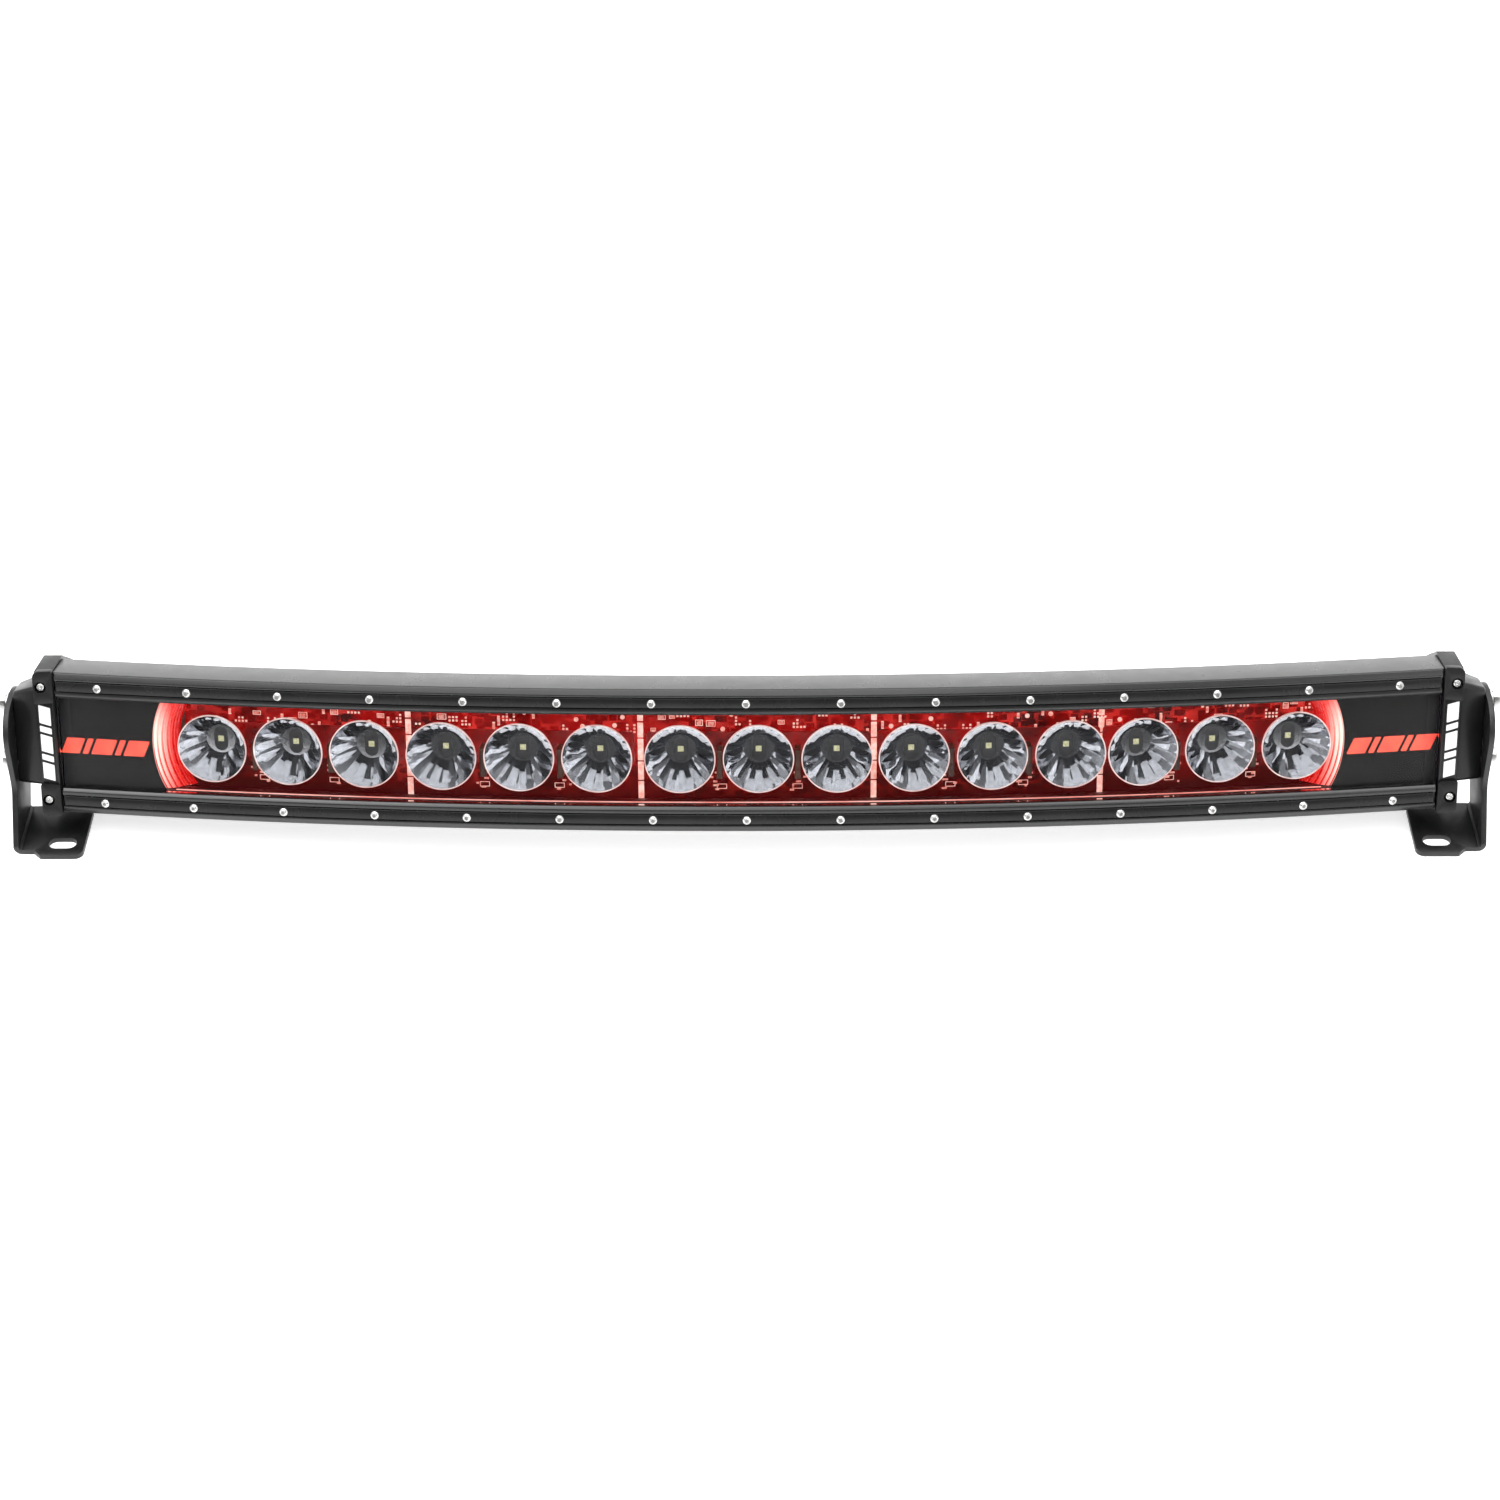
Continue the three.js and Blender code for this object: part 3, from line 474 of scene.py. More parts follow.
class Sketch:
    """Builds one node material."""

    def __init__(self, name: str) -> None:
        """Start an empty node tree with an output.

        Args:
            name: name of the material.
        """
        self.material = bpy.data.materials.new(name)
        self.material.use_nodes = True
        self.tree = self.material.node_tree
        self.tree.nodes.clear()
        self.output = self.tree.nodes.new("ShaderNodeOutputMaterial")

    def add(self, kind: str, inputs: dict | None = None, **settings) -> bpy.types.Node:
        """Add a node.

        Args:
            kind: the node's type.
            inputs: value or socket for each input, by name or number.
            settings: properties of the node.

        Returns:
            The new node.
        """
        node = self.tree.nodes.new(kind)
        for key, value in settings.items():
            setattr(node, key, value)
        for key, value in (inputs or {}).items():
            if isinstance(value, bpy.types.NodeSocket):
                self.tree.links.new(value, node.inputs[key])
            else:
                node.inputs[key].default_value = value
        return node

    def coords(self) -> bpy.types.NodeSocket:
        """Object coordinates, in metres."""
        return self.add("ShaderNodeTexCoord").outputs["Object"]

    def noise(self, scale: float, detail: float = 3.0, roughness: float = 0.5) -> bpy.types.NodeSocket:
        """Noise of a given number of cells per metre."""
        inputs = {"Vector": self.coords(), "Scale": scale, "Detail": detail, "Roughness": roughness}
        return self.add("ShaderNodeTexNoise", inputs).outputs[0]

    def spread(
        self, value: bpy.types.NodeSocket, low: float, high: float, start: float = 0.3, end: float = 0.7
    ) -> bpy.types.NodeSocket:
        """Map a value from start..end to low..high.

        Args:
            value: value to map.
            low: result at the start.
            high: result at the end.
            start: lowest value.
            end: highest value.

        Returns:
            The mapped value.
        """
        inputs = {"Value": value, "From Min": start, "From Max": end, "To Min": low, "To Max": high}
        return self.add("ShaderNodeMapRange", inputs).outputs[0]

    def mixed(self, share: float | bpy.types.NodeSocket, a: object, b: object) -> bpy.types.NodeSocket:
        """Mix two colours, each a constant or a socket.

        Args:
            share: how much of b is in the mix.
            a: first colour.
            b: second colour.

        Returns:
            The mixed colour.
        """
        inputs = {0: share}
        for slot, colour in ((6, a), (7, b)):
            inputs[slot] = colour if isinstance(colour, bpy.types.NodeSocket) else (*colour, 1.0)
        return self.add("ShaderNodeMix", inputs, data_type="RGBA").outputs[2]

    def bump(
        self, height: bpy.types.NodeSocket, depth: float, strength: float = 1.0
    ) -> bpy.types.NodeSocket:
        """Normal from a height, with the depth in metres.

        Args:
            height: height to read.
            depth: depth of the relief, in metres.
            strength: how strongly it shows.

        Returns:
            The normal.
        """
        inputs = {"Height": height, "Distance": depth, "Strength": strength}
        return self.add("ShaderNodeBump", inputs).outputs[0]

    def finish(self, shader: bpy.types.NodeSocket) -> bpy.types.Material:
        """Use a shader as the surface."""
        self.tree.links.new(shader, self.output.inputs["Surface"])
        return self.material


class Finish:
    """A finish that makes its material once."""

    made: dict[str, bpy.types.Material] = {}

    def material(self) -> bpy.types.Material:
        """The finish's material.

        Returns:
            The material, made on first use.
        """
        if self.name not in Finish.made:
            Finish.made[self.name] = self.build(Sketch(self.name))
        return Finish.made[self.name]


@dataclass(frozen=True)
class Coated(Finish):
    """Paint, anodising or moulded plastic: a fine texture with slight changes of tone and gloss."""

    name: str
    dark: Colour
    light: Colour
    roughness: Point2
    grain: float = 2600.0
    grain_depth: float = 0.00003
    metallic: float = 0.0
    specular: float = 0.5

    def build(self, sketch: Sketch) -> bpy.types.Material:
        """Make the material.

        Args:
            sketch: node tree to build in.

        Returns:
            The material.
        """
        mottle = sketch.noise(38.0, 5.0, 0.6)
        grain = sketch.noise(self.grain, 2.0, 0.6)
        colour = sketch.mixed(sketch.spread(mottle, 0.0, 1.0), self.dark, self.light)
        inputs = {
            "Base Color": colour,
            "Roughness": sketch.spread(sketch.noise(90.0, 4.0), *self.roughness),
            "Normal": sketch.bump(grain, self.grain_depth, 0.6),
            "Metallic": self.metallic,
            "Specular IOR Level": self.specular,
        }
        return sketch.finish(sketch.add("ShaderNodeBsdfPrincipled", inputs).outputs[0])


@dataclass(frozen=True)
class BareMetal(Finish):
    """Bright metal with fine scratches."""

    name: str
    dark: Colour
    light: Colour
    roughness: Point2
    scratch: float = 5200.0
    scratch_depth: float = 0.00001

    def build(self, sketch: Sketch) -> bpy.types.Material:
        """Make the material.

        Args:
            sketch: node tree to build in.

        Returns:
            The material.
        """
        stretched = sketch.add("ShaderNodeMapping", {"Vector": sketch.coords(), "Scale": (1.0, 0.15, 1.0)})
        inputs = {"Vector": stretched.outputs[0], "Scale": self.scratch, "Detail": 2.0}
        scratches = sketch.add("ShaderNodeTexNoise", inputs).outputs[0]
        mottle = sketch.noise(420.0, 3.0)
        inputs = {
            "Base Color": sketch.mixed(sketch.spread(mottle, 0.0, 1.0), self.dark, self.light),
            "Roughness": sketch.spread(scratches, *self.roughness),
            "Normal": sketch.bump(scratches, self.scratch_depth, 0.5),
            "Metallic": 1.0,
        }
        return sketch.finish(sketch.add("ShaderNodeBsdfPrincipled", inputs).outputs[0])


@dataclass(frozen=True)
class ClearSheet(Finish):
    """Clear plastic that lets light through and mirrors at a glance."""

    name: str
    tint: Colour
    gloss: float = 0.03

    def build(self, sketch: Sketch) -> bpy.types.Material:
        """Make the material.

        Args:
            sketch: node tree to build in.

        Returns:
            The material.
        """
        ripple = sketch.bump(sketch.noise(24.0, 2.0), 0.00008, 0.4)
        clear = sketch.add("ShaderNodeBsdfTransparent", {"Color": (*self.tint, 1.0)}).outputs[0]
        inputs = {"Color": (1.0, 1.0, 1.0, 1.0), "Roughness": self.gloss, "Normal": ripple}
        mirror = sketch.add("ShaderNodeBsdfGlossy", inputs).outputs[0]
        share = sketch.add("ShaderNodeFresnel", {"IOR": 1.11}).outputs[0]
        return sketch.finish(sketch.add("ShaderNodeMixShader", {0: share, 1: clear, 2: mirror}).outputs[0])


@dataclass(frozen=True)
class Glow(Finish):
    """Painted glow: a surface that gives off light though it is no lamp, with patches of brighter and
    darker light over a plain base.
    """

    name: str
    dim: Colour
    bright: Colour
    strength: float = 1.0
    cells: float = 60.0
    window: Point2 = (0.35, 0.65)

    def build(self, sketch: Sketch) -> bpy.types.Material:
        """Make the material.

        Args:
            sketch: node tree to build in.

        Returns:
            The material.
        """
        share = sketch.spread(sketch.noise(self.cells, 5.0, 0.6), 0.0, 1.0, *self.window)
        colour = sketch.mixed(share, self.dim, self.bright)
        inputs = {
            "Base Color": colour,
            "Roughness": sketch.spread(sketch.noise(300.0), 0.25, 0.45),
            "Normal": sketch.bump(sketch.noise(900.0), 0.00003, 0.5),
            "Emission Color": colour,
            "Emission Strength": self.strength,
        }
        return sketch.finish(sketch.add("ShaderNodeBsdfPrincipled", inputs).outputs[0])


@dataclass(frozen=True)
class RibbedGlow(Finish):
    """Plastic with a painted glow though it is no lamp, palest at its outer edge, with painted shade in
    dark lines between its ribs, strongest low down.
    """

    name: str
    deep: Colour
    middle: Colour
    pale: Colour
    ribs: float = 7.0
    strength: float = 0.95

    def build(self, sketch: Sketch) -> bpy.types.Material:
        """Make the material.

        Args:
            sketch: node tree to build in.

        Returns:
            The material.
        """
        # Painted light: the glow is palest at the outer edge and fades towards the crescent's ends; the
        # dark lines between the ribs are painted shade, strongest low down.
        across = sketch.add("ShaderNodeAttribute", attribute_name="across").outputs["Fac"]
        fade = sketch.add("ShaderNodeAttribute", attribute_name="fade").outputs["Fac"]
        lit = sketch.add("ShaderNodeMath", {0: across, 1: fade}, operation="MULTIPLY").outputs[0]
        inner = sketch.mixed(sketch.spread(lit, 0.0, 1.0, 0.0, 0.4), self.deep, self.middle)
        glow = sketch.mixed(sketch.spread(lit, 0.0, 1.0, 0.2, 0.62), inner, self.pale)
        turns = sketch.add("ShaderNodeMath", {0: across, 1: self.ribs}, operation="MULTIPLY").outputs[0]
        saw = sketch.add("ShaderNodeMath", {0: turns}, operation="FRACT").outputs[0]
        line = sketch.spread(saw, 0.0, 1.0, 0.52, 0.22)
        low = sketch.add("ShaderNodeAttribute", attribute_name="low").outputs["Fac"]
        shown = sketch.add("ShaderNodeMath", {0: line, 1: sketch.spread(low, 0.3, 0.95, 0.25, 0.7)},
                           operation="MULTIPLY").outputs[0]
        colour = sketch.mixed(shown, glow, self.deep)
        inputs = {
            "Base Color": colour,
            "Roughness": sketch.spread(sketch.noise(300.0), 0.2, 0.35),
            "Normal": sketch.bump(saw, 0.0001, 0.5),
            "Emission Color": colour,
            "Emission Strength": self.strength,
        }
        return sketch.finish(sketch.add("ShaderNodeBsdfPrincipled", inputs).outputs[0])


@dataclass(frozen=True)
class LitBoard(Finish):
    """Red solder mask with traces, vias and darker fields, with a painted glow though the board is no lamp,
    and painted shade towards its bottom.
    """

    name: str
    dark: Colour
    middle: Colour
    bright: Colour
    strength: float = 1.0
    shade: Point2 = (0.03, 0.062)

    def build(self, sketch: Sketch) -> bpy.types.Material:
        """Make the material.

        Args:
            sketch: node tree to build in.

        Returns:
            The material.
        """
        fields = sketch.spread(sketch.noise(34.0, 4.0, 0.6), 0.0, 1.0, 0.38, 0.6)
        ground = sketch.mixed(fields, self.dark, self.middle)
        turned = sketch.add("ShaderNodeMapping", {"Vector": sketch.coords(), "Scale": (1.0, 0.4, 1.4)})
        inputs = {"Vector": turned.outputs[0], "Scale": 210.0, "Randomness": 0.75}
        cells = sketch.add("ShaderNodeTexVoronoi", inputs, feature="F1", distance="CHEBYCHEV")
        traces = sketch.spread(cells.outputs["Distance"], 0.0, 1.0, 0.44, 0.5)
        faded = sketch.add("ShaderNodeMath", {0: traces, 1: sketch.spread(sketch.noise(55.0), 0.0, 0.8)},
                           operation="MULTIPLY").outputs[0]
        colour = sketch.mixed(faded, ground, self.bright)
        # Painted shade: the board fades to its dark colour towards the bottom, by height.
        height = sketch.add("ShaderNodeSeparateXYZ", {0: sketch.coords()}).outputs[2]
        lit = sketch.mixed(sketch.spread(height, 0.0, 1.0, *self.shade), self.dark, colour)
        # Painted glow: the board gives off its own colour though it is no lamp.
        inputs = {
            "Base Color": sketch.mixed(0.88, lit, (0.0, 0.0, 0.0)),
            "Roughness": sketch.spread(fields, 0.3, 0.5),
            "Normal": sketch.bump(traces, 0.00005, 0.6),
            "Specular IOR Level": 0.2,
            "Emission Color": lit,
            "Emission Strength": self.strength,
        }
        return sketch.finish(sketch.add("ShaderNodeBsdfPrincipled", inputs).outputs[0])


@dataclass(frozen=True)
class Floor(Finish):
    """Pale seamless studio floor."""

    name: str = "studio_floor"
    dark: Colour = (0.86, 0.86, 0.86)
    light: Colour = (0.9, 0.9, 0.9)
    glow: float = 0.6

    def build(self, sketch: Sketch) -> bpy.types.Material:
        """Make the material.

        Args:
            sketch: node tree to build in.

        Returns:
            The material.
        """
        inputs = {
            "Base Color": sketch.mixed(sketch.noise(3.0), self.dark, self.light),
            "Roughness": sketch.spread(sketch.noise(8.0), 0.75, 0.9),
            "Emission Color": (1.0, 1.0, 1.0, 1.0),
            "Emission Strength": self.glow,
        }
        return sketch.finish(sketch.add("ShaderNodeBsdfPrincipled", inputs).outputs[0])


HOUSING = Coated(
    "housing_anodised", (0.022, 0.022, 0.0218), (0.03, 0.03, 0.0297), (0.26, 0.34), specular=1.0
)
RAIL = Coated(
    "rail_anodised", (0.008, 0.008, 0.0084), (0.012, 0.012, 0.0124), (0.2, 0.26), grain=3200.0,
    grain_depth=0.000008, specular=0.6
)
STRIP = Coated(
    "strip_anodised", (0.008, 0.008, 0.0085), (0.013, 0.013, 0.0135), (0.22, 0.3), grain=3600.0,
    grain_depth=0.000008, specular=0.25
)
CAP = Coated(
    "cap_cast_black", (0.006, 0.006, 0.0063), (0.01, 0.01, 0.0104), (0.3, 0.42),
    grain_depth=0.00004, specular=0.3
)
BRACKET = Coated(
    "bracket_powder_coat", (0.005, 0.005, 0.0055), (0.009, 0.009, 0.0095), (0.34, 0.46),
    grain=1700.0, grain_depth=0.00007
)
# Painted shade: a grey plug in each screw socket.
SOCKET_SHADE = Coated("socket_painted_shade", (0.2, 0.2, 0.2), (0.3, 0.3, 0.3), (0.4, 0.55))
MASK = Coated(
    "lens_mask_black", (0.009, 0.0086, 0.0088), (0.012, 0.0115, 0.0117), (0.12, 0.2),
    grain_depth=0.000004, specular=0.16
)
NYLON = Coated("nylon_black", (0.01, 0.01, 0.01), (0.018, 0.018, 0.018), (0.45, 0.6), grain=1500.0)
RUBBER = Coated("gasket_rubber", (0.006, 0.006, 0.006), (0.012, 0.012, 0.012), (0.7, 0.85), specular=0.3)
STAINLESS = BareMetal("screw_stainless", (0.5, 0.5, 0.49), (0.72, 0.72, 0.71), (0.14, 0.26))
ZINC = BareMetal("bolt_zinc", (0.48, 0.48, 0.47), (0.66, 0.66, 0.65), (0.22, 0.36), scratch=2600.0)
CHROME = BareMetal(
    "reflector_chrome", (0.43, 0.435, 0.45), (0.54, 0.55, 0.58), (0.02, 0.05), scratch_depth=0.000002
)
PORT = Coated("port_grey", (0.035, 0.035, 0.038), (0.055, 0.055, 0.058), (0.5, 0.65))
LENS = ClearSheet("lens_clear", (0.985, 0.985, 0.985))
# Painted glow and painted shade on the board.
BOARD = LitBoard("board_red_painted_glow", (0.05, 0.0003, 0.0002), (0.36, 0.0005, 0.0005), (0.9, 0.04, 0.03), 0.85)
# Painted red light on a sheet that lines the hollow round the cups.
INNER = Glow("chamber_painted_red_light", (0.016, 0.001, 0.001), (0.07, 0.002, 0.001), 0.6, cells=30.0)
# Painted red glow on the bridges between the cups.
BRIDGE = Glow("bridge_red_painted_glow", (0.07, 0.001, 0.001), (0.28, 0.003, 0.002), 0.8, cells=70.0)
# Painted glow on the board's parts, outlines, strips and posts.
PARTS = Glow("board_parts", (0.55, 0.1, 0.08), (0.95, 0.5, 0.42), 0.75, cells=500.0)
PALE = Glow("board_outlines", (0.8, 0.3, 0.24), (1.0, 0.68, 0.6), 0.85, cells=260.0)
POST = Glow("board_posts", (0.03, 0.008, 0.004), (0.07, 0.02, 0.008), 0.35, cells=80.0)
# Painted highlight: the glowing strip along the window's lower edge.
EDGE = Glow("window_edge_light", (0.7, 0.12, 0.1), (1.0, 0.55, 0.48), 0.9, cells=22.0)
# Painted glow on the cups' rims.
RIM = Glow("cup_rims", (0.6, 0.34, 0.32), (0.8, 0.66, 0.64), 0.4, cells=120.0)
# Painted glow on the chips.
CHIP = Glow("emitter_chip", (0.36, 0.35, 0.18), (0.56, 0.56, 0.36), 0.45, cells=900.0)
# Painted glow on the red mark.
MARK = Glow("mask_mark", (0.62, 0.045, 0.03), (0.78, 0.09, 0.05), 0.7, cells=60.0)
WHITE = Coated("white_print", (0.78, 0.78, 0.78), (0.86, 0.86, 0.86), (0.4, 0.55))
# Painted glow and painted shade for the light guides.
GUIDE = RibbedGlow("guide_painted_glow", (0.4, 0.002, 0.002), (0.82, 0.05, 0.04), (1.0, 0.62, 0.54))


# ---------------------------------------------------------------- pieces


@dataclass
class Builder:
    """Turns shapes into pieces that ride on a body."""

    count: int = 0

    def add(
        self,
        name: str,
        shape: Shape,
        finish: Finish,
        body: Body = Body.BAR,
        nodes: tuple[str, ...] = (),
        slot: str = "",
    ) -> bpy.types.Object:
        """Make a piece.

        Args:
            name: the piece's name.
            shape: its mesh, in metres, in the row's frame; it is used up.
            finish: what it is dressed in.
            body: what it rides on.
            nodes: CAD nodes that it stands for.
            slot: name of the material slot; not used.

        Returns:
            The new object.
        """
        mesh = bpy.data.meshes.new(name)
        shape.bm.to_mesh(mesh)
        shape.bm.free()
        mesh.materials.append(finish.material())
        piece = bpy.data.objects.new(name, mesh)
        bpy.context.scene.collection.objects.link(piece)
        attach(piece, body.value)
        if nodes:
            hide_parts(*nodes)
        self.count += 1
        log.info("%s: %d faces, on %s", name, len(mesh.polygons), body.value)
        return piece


def mirrored(half: list[tuple[float, ...]]) -> list[tuple[float, ...]]:
    """A section's upper half and its mirror image below, as one outline."""
    return half + [(y, -z, *rest) for y, z, *rest in reversed(half)]


@dataclass
class Housing:
    """Extruded housing: a hollow shell with a window ledge, and cooling fins behind it."""

    reach: float = 387.5
    half_height: float = 41.5
    top_depth: float = 27.7
    wall_front: float = 31.0
    wall_back: float = 35.0
    fin_zs: tuple[float, ...] = (29.5, 21.5, 13.5, 5.5)
    fin_reach: tuple[float, ...] = (18.0, 26.0, 29.5, 30.5)
    facet_length: float = 18.0
    pocket: Point2 = (-20.0, 46.0)
    pocket_half: float = 17.5

    def shell(self) -> Shape:
        """The walls, ledges and rear shoulders.

        Returns:
            The shell.
        """
        top = self.half_height
        hollow = [(self.wall_front, 36.0, 1.5), (16.0, 36.0, 0.5), (16.0, 27.2, 0.5)]
        ledge = [(9.2, 27.2, 0.3), (9.2, 30.9, 0.2), (5.3, 30.9, 0.2), (5.3, 39.2, 0.2)]
        nose = [(3.2, 39.2, 0.2), (3.2, top - 0.2, 0.15), (3.5, top, 0.2)]
        shoulder = [(self.top_depth, top, 0.8), (38.0, 37.9, 0.8), (38.0, 36.1, 0.6)]
        half = [*hollow, *ledge, *nose, *shoulder, (self.wall_back, 35.5, 0.6)]
        return along_arc(rounded(mirrored(half), 3), self.reach).smoothed(28.0)

    def fins(self) -> Shape:
        """The fins, the middle ones stopping at the pocket for the gland and the vent.

        Returns:
            All the fins.
        """
        shapes = []
        for z, reach in zip(self.fin_zs, self.fin_reach):
            tip = self.wall_back + reach
            root = self.wall_back - 0.4
            section = [
                (root, 2.2), (root + 1.2, 1.35), (tip, 0.82, 0.75),
                (tip, -0.82, 0.75), (root + 1.2, -1.35), (root, -2.2),
            ]
            for side in (1, -1):
                outline = [(y, side * z + dz) for y, dz in rounded(section, 4)]
                end = SPACE.square_end(self.reach, root)
                spans = [(-end, end)]
                if z < self.pocket_half:
                    spans = [(-end, self.pocket[0]), (self.pocket[1], end)]
                for low, high in spans:
                    fin = Shape.prism(outline, "x", low, high)
                    pieces = max(2, round((high - low) / self.facet_length))
                    fin.cut([low + (high - low) * step / pieces for step in range(1, pieces)])
                    shapes.append(fin.moved(SPACE.bent).outward())
        return joined(shapes).smoothed(28.0)

    def chamber(self) -> Shape:
        """Sheet of painted red light lining the space around the cups: floor, ceiling and the back of each
        ledge.

        Returns:
            The lining.
        """
        shapes = []
        for side in (1, -1):
            lining = [
                (12.4, 27.1), (16.1, 27.1), (16.1, 35.9), (29.0, 35.9),
                (29.0, 35.6), (16.4, 35.6), (16.4, 26.8), (12.4, 26.8),
            ]
            shapes.append(along_arc([(y, side * z) for y, z in lining], self.reach - 12.0))
        return joined(shapes).smoothed()

    def build(self, builder: Builder) -> None:
        """Make the housing's pieces.

        Args:
            builder: takes the finished shapes.
        """
        shell = self.shell().moved(SPACE.leaned)
        builder.add("housing_shell", shell, HOUSING, nodes=("housing",), slot="housing_black")
        builder.add("housing_fins", self.fins().moved(SPACE.leaned), HOUSING, slot="housing_black")
        builder.add("chamber_lining", self.chamber().moved(SPACE.leaned), INNER)


@dataclass
class ButtonScrew:
    """Button head screw with a hexagon socket, its seat at z = 0 and its head towards +z."""

    head_radius: float = 2.45
    head_height: float = 1.6
    socket: float = 1.0
    steps: int = 24

    def hexagon(self, angle: float) -> float:
        """Radius of the socket's wall at an angle."""
        wedge = math.pi / 3
        return self.socket * math.cos(wedge / 2) / math.cos((angle % wedge) - wedge / 2)

    def bottom(self) -> Shape:
        """A grey plug at the socket's foot, painted shade in the socket."""
        low = self.head_height * 0.66
        return Shape.turned([(self.hexagon, low - 0.3), (self.hexagon, low)], 24)

    def shape(self) -> Shape:
        """The head, socket and a short shank.

        Returns:
            The screw.
        """
        dome = []
        for step in range(5):
            turn = math.radians(10 + 12.5 * step)
            dome.append((self.head_radius * math.cos(turn) * 1.02, self.head_height * math.sin(turn)))
        rings = [(1.45, -3.0), (1.45, -0.1), (self.head_radius * 0.96, -0.05), *dome]
        flat = self.head_height * 0.97
        rings += [(self.head_radius * 0.6, flat), (self.hexagon, flat)]
        rings += [(self.hexagon, flat - 0.12), (self.hexagon, flat - 1.0), (0.3, flat - 1.35)]
        return Shape.turned(rings, self.steps).smoothed(34.0)


@dataclass
class Bezel:
    """The rails round the window, their retainer strips and the strips' screws."""

    rail_reach: float = 386.7
    strip_reach: float = 385.6
    screw_pitch: float = 51.95
    screw_count: int = 15
    screw_z: float = 33.8
    seat: float = -0.05
    shadow_gap: float = 0.45
    spin_step: float = 0.7
    screw: ButtonScrew = field(default_factory=ButtonScrew)

    def rail(self, row: Row) -> Shape:
        """One rail, with the channel for its strip.

        Args:
            row: retainer row.

        Returns:
            The rail.
        """
        section = [
            (2.2, 26.7, 0.3), (0.9, 28.3, 0.5), (0.9, 30.55, 0.15), (2.2, 30.55, 0.1), (2.2, 37.05, 0.1),
            (0.9, 37.05, 0.15), (0.9, 38.2, 0.5), (2.1, 40.8, 0.4), (2.5, 41.2, 0.2), (2.9, 41.2, 0.1),
            (2.9, 38.9), (5.0, 38.9), (5.0, 26.7, 0.2),
        ]
        outline = [(y, row.value * z) for y, z in rounded(section, 3)]
        return along_arc(outline, self.rail_reach).smoothed(24.0)

    def strip(self, row: Row) -> Shape:
        """One retainer strip, with softened edges, set a little high in its channel.

        Args:
            row: retainer row.

        Returns:
            The strip.
        """
        low, high = self.screw_z - 2.95, self.screw_z + 2.95
        if row is Row.TOP:
            low += self.shadow_gap
        else:
            high -= self.shadow_gap
        section = [(1.9, low, 0.1), (0.0, low, 0.3), (0.0, high, 0.3), (1.9, high, 0.1)]
        outline = [(y, row.value * z) for y, z in rounded(section, 3)]
        return along_arc(outline, self.strip_reach).smoothed(24.0)

    def screw_place(self, row: Row, index: int) -> Matrix:
        """Where one screw stands, turned a little further than the one before.

        Args:
            row: retainer row.
            index: number of the screw along its row, from 0.

        Returns:
            The transform of the screw, before the lean.
        """
        along = (index - (self.screw_count - 1) / 2) * self.screw_pitch
        seat = Matrix.Translation((0.0, self.seat, row.value * self.screw_z))
        spin = Matrix.Rotation(index * self.spin_step, 4, "Z")
        return SPACE.standing(along) @ seat @ TO_FRONT @ spin

    def sockets(self) -> Shape:
        """The grey plugs of painted shade at the feet of all the screws' sockets."""
        places = [self.screw_place(row, index) for row in Row for index in range(self.screw_count)]
        return joined([self.screw.bottom().placed(place) for place in places])

    def build(self, builder: Builder) -> None:
        """Make the rails, strips and screws.

        Args:
            builder: takes the finished shapes.
        """
        for row in Row:
            name = f"bezel_rail_{row.label}"
            rail = self.rail(row).moved(SPACE.leaned)
            builder.add(f"{name}_profile", rail, RAIL, nodes=(name,), slot="rail_black")
            name = f"retainer_strip_{row.label}"
            strip = self.strip(row).moved(SPACE.leaned)
            builder.add(f"{name}_bar", strip, STRIP, nodes=(name,), slot="strip_black")
            for index in range(self.screw_count):
                head = self.screw.shape().placed(self.screw_place(row, index))
                node = f"retainer_screw_{row.label}_{index + 1:02d}"
                builder.add(f"button_{row.label}_{index + 1:02d}", head.moved(SPACE.leaned), STAINLESS,
                            nodes=(node,), slot="screw_stainless")
        # Grey plugs of painted shade in the screw sockets.
        builder.add("socket_shade_plugs", self.sockets().moved(SPACE.leaned), SOCKET_SHADE)


